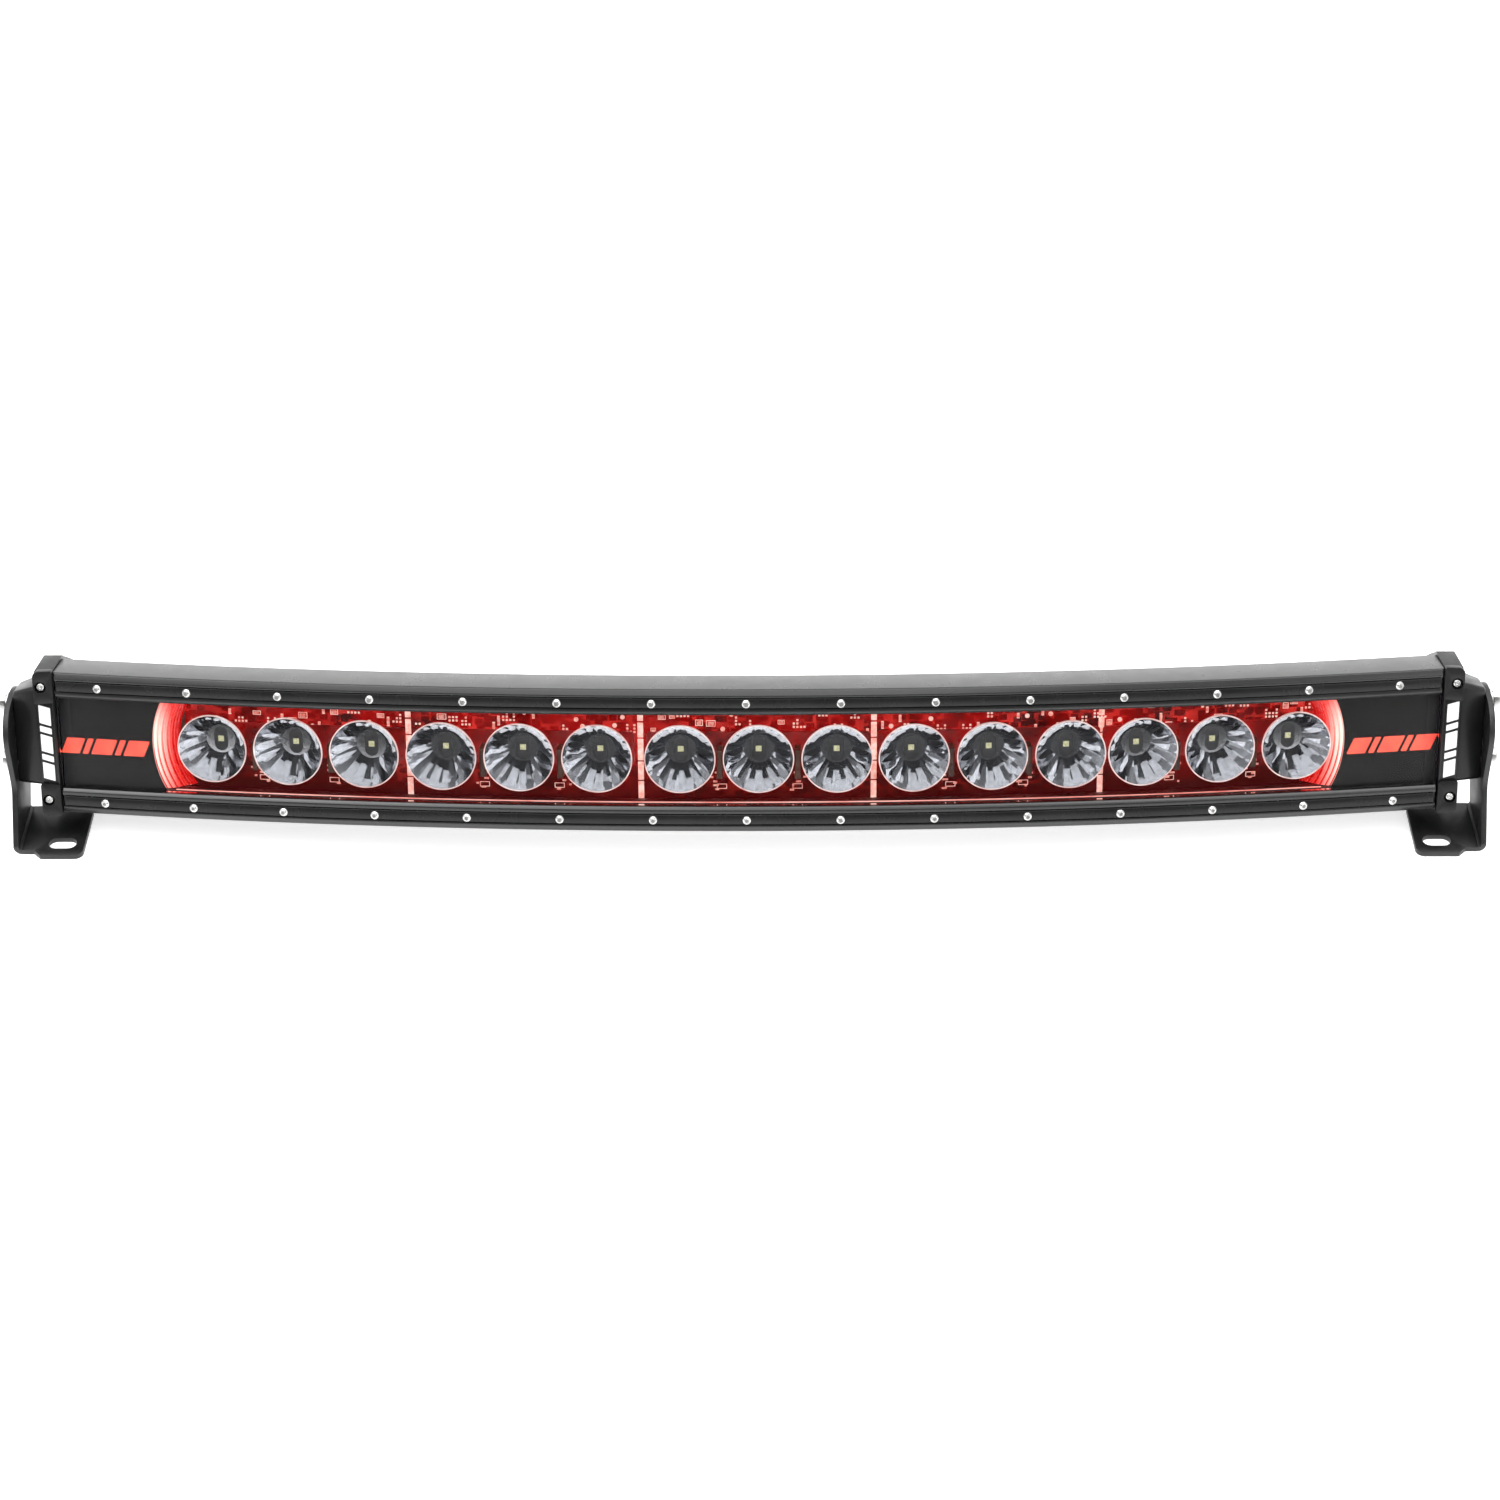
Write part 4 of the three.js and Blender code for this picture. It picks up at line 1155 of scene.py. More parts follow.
@dataclass
class Window:
    """The clear lens, the black masks printed at its ends and a plain mark on each."""

    reach: float = 387.0
    mask_depth: float = 7.2
    arc_centre: float = 280.0
    arc_radius: float = 56.0
    half: float = 27.0
    mark_from: float = 339.5
    mark_length: float = 49.0
    mark_z: float = -2.7
    mark_half: float = 4.6
    blocks: tuple[float, ...] = (0.22, 0.07, 0.25, 0.07, 0.25)
    slant: float = 0.45

    def lens(self) -> Shape:
        """The lens: a raised face inside a flange."""
        half = [(6.9, 30.2, 0.3), (5.4, 30.2, 0.3), (5.4, 26.2, 0.4), (2.6, 26.2, 0.6)]
        return along_arc(rounded(mirrored(half), 3), self.reach).smoothed(28.0)

    def mask(self, hand: Hand) -> Shape:
        """The black mask at one end, with its round edge towards the lamps.

        Args:
            hand: end of the bar.

        Returns:
            The mask.
        """
        top = math.asin(self.half / self.arc_radius)
        turns = [-top + 2 * top * step / 24 for step in range(25)]
        radius = self.arc_radius
        edge = [(self.arc_centre + radius * math.cos(turn), radius * math.sin(turn)) for turn in turns]
        end = SPACE.square_end(self.reach - 0.4, self.mask_depth)
        outline = [(hand.value * s, z) for s, z in [(end, -self.half), *edge, (end, self.half)]]
        plate = Shape.prism(outline, "y", self.mask_depth, self.mask_depth + 0.3)
        return plate.cut([hand.value * (330 + 8 * step) for step in range(7)]).moved(SPACE.bent)

    def mark(self, hand: Hand) -> Shape:
        """A plain row of slanted red blocks on the mask, with a painted glow.

        Args:
            hand: end of the bar.

        Returns:
            The blocks.
        """
        shapes = []
        gap = self.mark_length * (1 - sum(self.blocks)) / (len(self.blocks) - 1)
        start = self.mark_from if hand is Hand.RIGHT else -self.mark_from - self.mark_length
        lean = self.slant * self.mark_half
        for share in self.blocks:
            end = start + share * self.mark_length
            low, high = self.mark_z - self.mark_half, self.mark_z + self.mark_half
            corners = [(start - lean, low, 0.5), (end - lean, low, 0.5), (end + lean, high, 0.5),
                       (start + lean, high, 0.5)]
            block = Shape.prism(rounded(corners, 3), "y", self.mask_depth - 0.12, self.mask_depth - 0.02)
            shapes.append(block.moved(SPACE.bent))
            start = end + gap
        return joined(shapes)

    def build(self, builder: Builder) -> None:
        """Make the lens, masks and marks, and dress the gasket behind them.

        Args:
            builder: takes the finished shapes.
        """
        builder.add("lens_sheet", self.lens().moved(SPACE.leaned), LENS, nodes=("lens",), slot="lens_clear")
        for hand in Hand:
            builder.add(f"lens_mask_{hand.label}", self.mask(hand).moved(SPACE.leaned), MASK)
            builder.add(f"mask_mark_{hand.label}", self.mark(hand).moved(SPACE.leaned), MARK)
        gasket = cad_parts["lens_gasket"]
        gasket.data.materials.clear()
        gasket.data.materials.append(RUBBER.material())


@dataclass
class LampRow:
    """Five reflector modules of three faceted cups, and the chip in the bottom of each cup."""

    modules: int = 5
    cups: int = 3
    pitch: float = 43.5
    shifts: tuple[float, ...] = (3.0, 3.5, 6.6, 6.3, 4.0)
    drop: float = 1.0
    rim_radius: float = 19.2
    rim_depth: float = 8.6
    base_radius: float = 8.2
    base_depth: float = 27.2
    wall: float = 0.45
    facets: int = 20
    steps: int = 80
    bridge_half: float = 9.7
    bridge_gap: float = 2.6
    port_clear: float = 1.3
    port_half: Point2 = (3.9, 7.2)
    pad_half: Point2 = (5.1, 8.4)
    chip: float = 3.3

    def centre(self, module: int) -> float:
        """Length along the arc at which a module stands."""
        return self.shifts[module] + (module - (self.modules - 1) / 2) * self.pitch * self.cups

    def edges(self) -> list[float]:
        """Lengths along the arc of the modules' joins and of the row's two ends.

        Returns:
            The lengths, from left to right.
        """
        centres = [self.centre(module) for module in range(self.modules)]
        half = self.pitch * self.cups / 2
        joins = [(left + right) / 2 for left, right in zip(centres, centres[1:])]
        return [centres[0] - half, *joins, centres[-1] + half]

    def faceted(self, radius: float, share: float) -> Callable[[float], float]:
        """Radius of a ring that is part way from round to faceted.

        Args:
            radius: the ring's largest radius.
            share: 0 for a circle, 1 for a polygon of flat facets.

        Returns:
            The radius as a function of the angle.
        """
        wedge = 2 * math.pi / self.facets

        def at(angle: float) -> float:
            """Radius at one angle, with the middle of a facet at the foot of the cup.

            Args:
                angle: angle round the cup, in radians.

            Returns:
                The radius there.
            """
            local = ((angle - math.pi / 2 + wedge / 2) % wedge) - wedge / 2
            flat = math.cos(wedge / 2) / math.cos(local)
            return radius * (1 - share + share * flat)

        return at

    def parabola(self, radius: float) -> float:
        """Depth of the mirror at a radius."""
        scale = (self.rim_radius**2 - self.base_radius**2) / (self.base_depth - self.rim_depth)
        return self.base_depth - (radius**2 - self.base_radius**2) / scale

    def cup(self) -> Shape:
        """One cup, its mouth at the rim's depth along +z: mirror inside, plain wall outside.

        Returns:
            The cup.
        """
        radii = [self.rim_radius - (self.rim_radius - self.base_radius) * step / 9 for step in range(10)]
        rings: list[tuple[float | Callable[[float], float], float]] = []
        for radius in reversed(radii):
            rings.append((radius + self.wall, self.parabola(radius)))
        for index, radius in enumerate(radii):
            share = min(1.0, index / 1.5)
            rings.append((self.faceted(radius, share), self.parabola(radius)))
        return Shape.turned(rings, self.steps, closed=True).smoothed(14.0)

    def rim(self) -> Shape:
        """The thin lip round a cup's mouth, bright with a painted glow.

        Returns:
            The lip.
        """
        low, high = self.rim_radius - 0.05, self.rim_radius + self.wall + 0.1
        front = self.rim_depth
        lip = [(low, front - 0.2), (low + 0.15, front - 0.35), (high - 0.15, front - 0.35)]
        rings = [*lip, (high, front - 0.2), (high, front + 0.8), (low, front + 0.05)]
        return Shape.turned(rings, self.steps, closed=True).smoothed(30.0)

    def bridge(self) -> Shape:
        """The strip that joins three cups, with their ports.

        Returns:
            The strip.
        """
        half = self.pitch * self.cups / 2 - self.bridge_gap
        low, high = -self.bridge_half - self.drop, self.bridge_half - self.drop
        corners = [(-half, low, 2), (half, low, 2), (half, high, 2), (-half, high, 2)]
        wide, tall = (size + self.port_clear for size in self.port_half)
        middles = [(cup - 1) * self.pitch for cup in range(self.cups)]
        ports = tuple(capsule(middle, -self.drop, tall, wide, upright=True) for middle in middles)
        return Shape.prism(rounded(corners, 3), "y", self.base_depth, self.base_depth + 1.5, ports)

    def floor(self) -> Shape:
        """The mirrored floor of a cup, round its port.

        Returns:
            The floor.
        """
        port = capsule(0.0, 0.0, self.port_half[1], self.port_half[0], upright=True)
        outline = circle(0.0, 0.0, self.base_radius + 0.3, 48)
        return Shape.prism(outline, "y", self.base_depth - 0.25, self.base_depth - 0.02, (port,))

    def pad(self) -> Shape:
        """The grey plate that closes a port from behind.

        Returns:
            The plate.
        """
        wide, tall = self.pad_half
        corners = [(-wide, -tall, 1), (wide, -tall, 1), (wide, tall, 1), (-wide, tall, 1)]
        return Shape.prism(rounded(corners), "y", self.base_depth + 0.1, self.base_depth + 0.4)

    def seat(self) -> Shape:
        """The frame round a chip."""
        side = self.chip + 0.9
        return Shape.block((0.0, self.base_depth - 0.05, 0.0), (side, 0.5, side)).bevelled(0.12)

    def emitter(self) -> Shape:
        """The chip, with a painted glow."""
        block = Shape.block((0.0, self.base_depth - 0.35, 0.0), (self.chip, 0.4, self.chip))
        return block.bevelled(0.3, 3)

    def build(self, builder: Builder) -> None:
        """Make each module's mirrors, base, rims and chips.

        Args:
            builder: takes the finished shapes.
        """
        middles = [(cup - 1) * self.pitch for cup in range(self.cups)]
        offsets = [Matrix.Translation((middle, 0.0, -self.drop)) for middle in middles]
        for module in range(self.modules):
            stand = SPACE.standing(self.centre(module))
            places = [stand @ offset for offset in offsets]
            mirrors = joined([self.cup().placed(place @ TO_BACK) for place in places]
                             + [self.floor().placed(place) for place in places])
            rims = joined([self.rim().placed(place @ TO_BACK) for place in places])
            bridge = self.bridge().placed(stand)
            pads = [shape.placed(place) for place in places for shape in (self.pad(), self.seat())]
            chips = [self.emitter().placed(place) for place in places]
            label = module + 1
            builder.add(f"reflector_cups_{label}", mirrors.moved(SPACE.leaned), CHROME,
                        nodes=(f"reflector_module_{label}",), slot="reflector_chrome")
            builder.add(f"reflector_rims_{label}", rims.moved(SPACE.leaned), RIM)
            builder.add(f"reflector_bridge_{label}", bridge.moved(SPACE.leaned), BRIDGE)
            builder.add(f"chip_pads_{label}", joined(pads).moved(SPACE.leaned), PORT)
            builder.add(f"chips_{label}", joined(chips).moved(SPACE.leaned), CHIP)


@dataclass
class CircuitBoard:
    """The board behind the cups, with its parts, outlines and bright strips between modules, all with a
    painted glow.
    """

    lamps: LampRow
    depth: float = 28.9
    half_tall: float = 31.6
    line_width: float = 0.35
    strip_width: float = 3.2
    join_strips: tuple[Point2, ...] = (
        (-31.0, -20.5), (-19.7, -9.0), (-8.2, 4.5), (5.3, 14.0), (15.0, 25.0),
    )
    end_strips: tuple[Point2, ...] = ((-30.0, -20.0),)
    light_reach: float = 322.0
    seed: int = 7
    made: dict[str, list[Shape]] = field(default_factory=dict)

    def put(self, kind: str, shape: Shape, place: Matrix) -> None:
        """Keep a small shape for one of the board's pieces."""
        self.made.setdefault(kind, []).append(shape.placed(place))

    def frame_of(self, x: float, z: float, wide: float, tall: float) -> Shape:
        """Thin raised outline of a rectangle, as printed round a part.

        Args:
            x: middle of the rectangle.
            z: middle of the rectangle.
            wide: its width.
            tall: its height.

        Returns:
            The outline as a thin solid.
        """

        def rectangle(inset: float) -> list[Point2]:
            """The rectangle, drawn in by a little.

            Args:
                inset: distance in from the outer line.

            Returns:
                Its four corners.
            """
            left, right = x - wide / 2 + inset, x + wide / 2 - inset
            low, high = z - tall / 2 + inset, z + tall / 2 - inset
            return [(left, low), (right, low), (right, high), (left, high)]

        inner = rectangle(self.line_width)
        return Shape.prism(rectangle(0.0), "y", self.depth - 0.15, self.depth + 0.02, (inner,))

    def chip_part(self, x: float, z: float, wide: float, tall: float, high: float) -> Shape:
        """A small mounted part."""
        block = Shape.block((x, self.depth - high / 2, z), (wide, high, tall))
        return block.bevelled(min(wide, tall) * 0.12, 1)

    def populate(self, place: Matrix, chance: random.Random) -> None:
        """Scatter parts over one module in loose rows: dots, framed chips, capped chips and discs.

        Args:
            place: where the module stands.
            chance: source of the random draws.
        """
        half = self.lamps.pitch * self.lamps.cups / 2 - 5.0
        x = -half
        while x < half:
            kind = chance.random()
            z = chance.uniform(6.0, 21.0)
            if kind < 0.3:
                count = chance.choice((2, 3, 4))
                for step in range(count):
                    for level in range(chance.choice((1, 2, 3))):
                        dot = self.chip_part(x + step * 2.0, z + level * 2.0, 1.2, 1.2, 0.3)
                        self.put("pale", dot, place)
                x += count * 2.0 + chance.uniform(1.0, 3.0)
            elif kind < 0.62:
                wide, tall = chance.uniform(3.0, 5.4), chance.uniform(2.2, 4.2)
                self.put("pale", self.frame_of(x + wide / 2, z, wide, tall), place)
                self.put("parts", self.chip_part(x + wide / 2, z, wide * 0.62, tall * 0.55, 1.0), place)
                x += wide + chance.uniform(0.8, 3.0)
            elif kind < 0.85:
                tall = chance.uniform(1.6, 4.4)
                self.put("parts", self.chip_part(x + 0.8, z, 1.5, tall, 0.8), place)
                self.put("pale", self.chip_part(x + 0.8, z + tall / 2 + 0.4, 1.5, 0.6, 0.5), place)
                self.put("pale", self.chip_part(x + 0.8, z - tall / 2 - 0.4, 1.5, 0.6, 0.5), place)
                x += chance.uniform(2.6, 5.0)
            else:
                disc = Shape.turned([(1.3, 0.0), (1.3, 0.5), (1.05, 0.7)], 16)
                self.put("pale", disc, place @ Matrix.Translation((x + 1.3, self.depth, z)) @ TO_FRONT)
                x += chance.uniform(3.5, 6.0)

    def between_cups(self, place: Matrix, chance: random.Random) -> None:
        """Dark posts between neighbouring cups and the pads beside them.

        Args:
            place: where the module stands.
            chance: source of the random draws.
        """
        for step in (-0.5, 0.5):
            x = step * self.lamps.pitch
            post = Shape.block((x, self.depth - 6.0, -7.5), (3.4, 11.0, 17.0)).bevelled(0.5)
            self.put("posts", post, place)
            for level in range(5):
                z = -26.0 + level * 2.6 + chance.uniform(-0.4, 0.4)
                wide = chance.uniform(1.2, 3.4)
                x_pad = x + chance.uniform(-5.0, 5.0)
                self.put("parts", self.chip_part(x_pad, z, wide, 1.1, 0.4), place)
            self.put("pale", self.frame_of(x + chance.uniform(-2, 2), -24.0, 5.6, 3.0), place)

    def board(self) -> Shape:
        """The board itself, one flat facet for each module.

        Returns:
            The board.
        """
        shapes = []
        edges = self.lamps.edges()
        nearer = 1 - self.depth / SPACE.arc_radius
        for module in range(self.lamps.modules):
            centre = self.lamps.centre(module)
            low, high = (edges[module] - centre) * nearer, (edges[module + 1] - centre) * nearer
            foot, top = -self.half_tall, self.half_tall
            corners = [(low, foot), (high, foot), (high, top), (low, top)]
            plate = Shape.prism(corners, "y", self.depth, self.depth + 1.6)
            shapes.append(plate.placed(SPACE.standing(centre)))
        return joined(shapes)

    def dividers(self) -> Shape:
        """Bright strips at the modules' joins and ends, broken where a wire crosses.

        Returns:
            The strips.
        """
        shapes = []
        for edge, along in enumerate(self.lamps.edges()):
            stand = SPACE.standing(along)
            spans = self.end_strips if edge in (0, self.lamps.modules) else self.join_strips
            for low, high in spans:
                size = (self.strip_width, 0.5, high - low)
                strip = Shape.block((0.0, self.depth - 1.7, (low + high) / 2), size)
                shapes.append(strip.bevelled(0.15, 1).placed(stand))
        return joined(shapes)

    def edge_light(self) -> Shape:
        """Painted highlight: a glowing strip that makes the bright line of light along the lower edge of
        the window.
        """
        section = rounded([(9.0, -26.85, 0.1), (9.8, -26.85, 0.1), (9.8, -26.4, 0.1), (9.0, -26.4, 0.1)], 2)
        return along_arc(section, self.light_reach)

    def build(self, builder: Builder) -> None:
        """Make the board and what stands on it.

        Args:
            builder: takes the finished shapes.
        """
        chance = random.Random(self.seed)
        for module in range(self.lamps.modules):
            place = SPACE.standing(self.lamps.centre(module))
            self.populate(place, chance)
            self.between_cups(place, chance)
        sheet = self.board().moved(SPACE.leaned)
        builder.add("board_sheet", sheet, BOARD, nodes=("led_board",), slot="board_red")
        builder.add("board_dividers", self.dividers().moved(SPACE.leaned), PALE)
        builder.add("window_edge_light", self.edge_light().moved(SPACE.leaned), EDGE)
        for kind, finish in (("parts", PARTS), ("pale", PALE), ("posts", POST)):
            builder.add(f"board_{kind}", joined(self.made[kind]).moved(SPACE.leaned), finish)


@dataclass
class LightGuide:
    """Ribbed crescent at each end of the window, with a painted glow."""

    centre: float = 280.0
    outer: float = 60.0
    inner: float = 44.0
    lip: float = 5.0
    front: float = 9.6
    back: float = 20.0
    half: float = 26.0
    ribs: int = 9

    def shape(self, hand: Hand) -> Shape:
        """The crescent: a slope of concentric ridges from its outer edge back to its inner edge.

        Args:
            hand: end of the bar.

        Returns:
            The crescent.
        """
        rings = [(self.outer, self.back), (self.outer, self.front)]
        start = self.outer - self.lip
        for rib in range(self.ribs):
            share = rib / self.ribs
            radius = start - (start - self.inner) * share
            depth = self.front + (self.back - self.front) * share**1.3
            rings += [(radius, depth), (radius - 0.9, depth + 0.15)]
        rings.append((self.inner - 0.6, self.back))
        crescent = Shape.turned(rings, 180, closed=True)
        crescent.placed(TO_BACK)
        cuts = (
            ((0, 0, self.half), (0, 0, 1)),
            ((0, 0, -self.half), (0, 0, -1)),
            ((0, 0, 0), (-hand.value, 0, 0)),
        )
        for point, normal in cuts:
            geometry = crescent.bm.verts[:] + crescent.bm.edges[:] + crescent.bm.faces[:]
            bmesh.ops.bisect_plane(
                crescent.bm, geom=geometry, plane_co=point, plane_no=normal, clear_outer=True
            )
        bmesh.ops.holes_fill(crescent.bm, edges=crescent.bm.edges[:], sides=0)
        return crescent.outward().smoothed(20.0)

    def lit(self, shape: Shape) -> Shape:
        """Store where each point lies across the ribs, how low it is, and how the painted glow fades there.

        Args:
            shape: a guide, before it is put in its place.

        Returns:
            The same shape.
        """
        across = shape.bm.verts.layers.float.new("across")
        fade = shape.bm.verts.layers.float.new("fade")
        low = shape.bm.verts.layers.float.new("low")
        for vert in shape.bm.verts:
            radius = math.hypot(vert.co.x, vert.co.z)
            share = (radius - self.inner) / (self.outer - self.inner)
            vert[across] = max(0.0, min(1.0, share))
            # Painted fall-off of the glow towards the top and bottom of the crescent.
            tip = self.half * (1.15 if vert.co.z > 0 else 1.4)
            vert[fade] = 1.0 - 0.8 * (abs(vert.co.z) / tip) ** 1.6
            vert[low] = 0.5 - vert.co.z / self.half / 2
        return shape

    def build(self, builder: Builder) -> None:
        """Make both guides.

        Args:
            builder: takes the finished shapes.
        """
        for hand in Hand:
            shape = self.lit(self.shape(hand)).placed(SPACE.standing(hand.value * self.centre))
            node = f"light_guide_{hand.label}"
            builder.add(f"{node}_ribbed", shape.moved(SPACE.leaned), GUIDE, nodes=(node,), slot="guide_red")


@dataclass
class EndCap:
    """Cast cap at each end: a body, two screw lugs, a narrow band between them and a boss for the bolts."""

    inner_x: float = 387.8
    outer_x: float = 398.6
    boss_x: float = 412.7
    proud: float = 1.9
    half_height: float = 41.5
    screw_x: float = 394.8
    screw_z: float = 33.4
    screw_seat: float = 1.5
    screw_turn: float = 0.4
    bore: float = 3.3
    boss_y: Point2 = (42.5, 66.5)
    boss_mid: float = 1.0
    boss_half: float = 27.0
    mark_from: float = -22.5
    mark_lengths: tuple[float, ...] = (9.5, 3.4, 10.0, 3.4, 10.6)
    mark_gap: float = 1.6
    mark_skew: float = 2.0
    root_y: float = field(init=False)

    def __post_init__(self) -> None:
        """Find the depth at which the retainer face meets the cap."""
        self.root_y = SPACE.bent(Vector((SPACE.square_end(self.inner_x, 0.0), 0.0, 0.0))).y

    def body(self, hand: Hand) -> Shape:
        """The cap's body, following the housing's section, with soft outer edges.

        Args:
            hand: end of the bar.

        Returns:
            The body.
        """
        root, top = self.root_y, self.half_height + self.proud
        half = [
            (root + 2.2, 23.5, 1.5), (root + 2.6, top - 2.4, 1.0), (root + 3.4, top - 1.2, 1.0),
            (root + 29.2, top, 2.0), (root + 32.2, top - 1.4, 1.5), (root + 40.0, 39.0, 2.0),
            (root + 55.0, 32.9, 3.0), (root + 63.0, 24.1, 3.0), (root + 67.5, 14.5, 4.0),
        ]
        outline = rounded(mirrored(half), 4)
        low, high = sorted((hand.value * self.inner_x, hand.value * self.outer_x))
        shape = Shape.prism(outline, "x", low, high)
        edges = [edge for edge in shape.bm.edges
                 if all(abs(vert.co.x - hand.value * self.outer_x) < 1e-3 for vert in edge.verts)]
        bmesh.ops.bevel(shape.bm, geom=edges, offset=1.6, offset_type="OFFSET", segments=4, profile=0.5,
                        affect="EDGES", clamp_overlap=True, material=-1)
        return shape.outward().smoothed(30.0)

    def lug(self, hand: Hand, row: Row) -> Shape:
        """One screw lug on the cap's front, with its counterbore.

        Args:
            hand: end of the bar.
            row: retainer row.

        Returns:
            The lug.
        """
        top = self.half_height + self.proud
        low, high = self.inner_x, self.outer_x + 0.15
        corners = [(low, 24.4, 0.8), (high, 23.4, 1.5), (high, top - 0.9, 3.2), (low, top - 0.5, 1.2)]
        outline = [(hand.value * x, row.value * z) for x, z in rounded(corners, 6)]
        hole = circle(hand.value * self.screw_x, row.value * self.screw_z, self.bore, 32)
        plate = Shape.prism(outline, "y", self.root_y - 0.4, self.root_y + 4.5, (hole,))
        return plate.bevelled(0.45, 3, above=50.0).smoothed(30.0)

    def band(self, hand: Hand) -> Shape:
        """The narrow band between the lugs, with a raised lip on its inner side.

        Args:
            hand: end of the bar.

        Returns:
            The band.
        """

        def slab(low: float, high: float, half: float, front: float) -> Shape:
            """Upright slab between two x, set back by a little from the cap's face.

            Args:
                low: inner x.
                high: outer x.
                half: half of the height.
                front: depth of its front behind the root of the cap.

            Returns:
                The slab.
            """
            corners = [(low, -half), (high, -half), (high, half), (low, half)]
            outline = [(hand.value * x, z) for x, z in corners]
            return Shape.prism(outline, "y", self.root_y + front, self.root_y + 4.0)

        plate = slab(self.inner_x + 0.6, self.outer_x - 0.3, 25.5, 1.4).bevelled(0.8, 3)
        lip = slab(self.inner_x + 0.1, self.inner_x + 1.2, 24.5, 0.6).bevelled(0.35, 2)
        return joined([plate, lip]).smoothed(30.0)

    def mark(self, hand: Hand) -> Shape:
        """Plain slanted blocks printed on the band.

        Args:
            hand: end of the bar.

        Returns:
            The blocks.
        """
        shapes = []
        left, right = self.inner_x + 2.7, self.outer_x - 1.7
        low = self.mark_from
        for length in self.mark_lengths:
            high = low + length
            skew = self.mark_skew
            corners = [(left, low), (right, low + skew), (right, high + skew), (left, high)]
            softened = rounded([(x, z, 0.3) for x, z in corners], 2)
            outline = [(hand.value * x, z) for x, z in softened]
            shapes.append(Shape.prism(outline, "y", self.root_y + 1.32, self.root_y + 1.5))
            low = high + self.mark_gap
        return joined(shapes)

    def boss(self, hand: Hand) -> Shape:
        """The boss that the bolts screw into: flared where it meets the cap.

        Args:
            hand: end of the bar.

        Returns:
            The boss.
        """

        def ring(grow: float) -> list[Point2]:
            """The boss's outline, grown by a little.

            Args:
                grow: distance outward.

            Returns:
                The outline.
            """
            low, high = self.boss_y[0] - grow, self.boss_y[1] + grow
            foot, head = self.boss_mid - self.boss_half, self.boss_mid + self.boss_half + grow
            return rounded([(low, foot, 3), (high, foot, 6), (high, head, 6), (low, head, 3)], 5)

        stations = [(self.outer_x - 2.0, 4.0), (self.outer_x + 1.5, 4.0), (self.outer_x + 6.0, 2.6),
                    (self.boss_x - 0.8, 0.2), (self.boss_x, -0.6)]
        shape = Shape()
        first = [shape.bm.verts.new((hand.value * stations[0][0], y, z)) for y, z in ring(stations[0][1])]
        edges = [shape.bm.edges.new((first[i - 1], first[i])) for i in range(len(first))]
        order = first
        for x, grow in stations[1:]:
            grown = bmesh.ops.extrude_edge_only(shape.bm, edges=edges)["geom"]
            verts = [item for item in grown if isinstance(item, bmesh.types.BMVert)]
            edges = [item for item in grown if isinstance(item, bmesh.types.BMEdge)]
            matched = {tuple(round(c, 4) for c in vert.co): vert for vert in verts}
            order = [matched[tuple(round(c, 4) for c in vert.co)] for vert in order]
            for vert, (y, z) in zip(order, ring(grow)):
                vert.co = Vector((hand.value * x, y, z))
        bmesh.ops.holes_fill(shape.bm, edges=shape.bm.edges[:], sides=0)
        return shape.outward().smoothed(30.0)

    def build(self, builder: Builder) -> None:
        """Make both caps and their screws.

        Args:
            builder: takes the finished shapes.
        """
        for hand in Hand:
            name = f"end_cap_{hand.label}"
            lugs = [self.lug(hand, row) for row in Row]
            cap = joined([self.body(hand), self.boss(hand), *lugs])
            builder.add(f"{name}_casting", cap.moved(SPACE.leaned), CAP, nodes=(name,), slot="cap_black")
            builder.add(f"{name}_band", self.band(hand).moved(SPACE.leaned), CAP, slot="cap_black")
            builder.add(f"{name}_mark", self.mark(hand).moved(SPACE.leaned), WHITE)
            for row in Row:
                at = (hand.value * self.screw_x, self.root_y + self.screw_seat, row.value * self.screw_z)
                screw = ButtonScrew(head_radius=2.65, head_height=1.8).shape()
                screw.placed(Matrix.Translation(at) @ TO_FRONT @ Matrix.Rotation(self.screw_turn, 4, "Z"))
                builder.add(f"cap_button_{hand.label}_{row.label}", screw.moved(SPACE.leaned), STAINLESS,
                            nodes=(f"cap_screw_{hand.label}_{row.label}",), slot="screw_stainless")


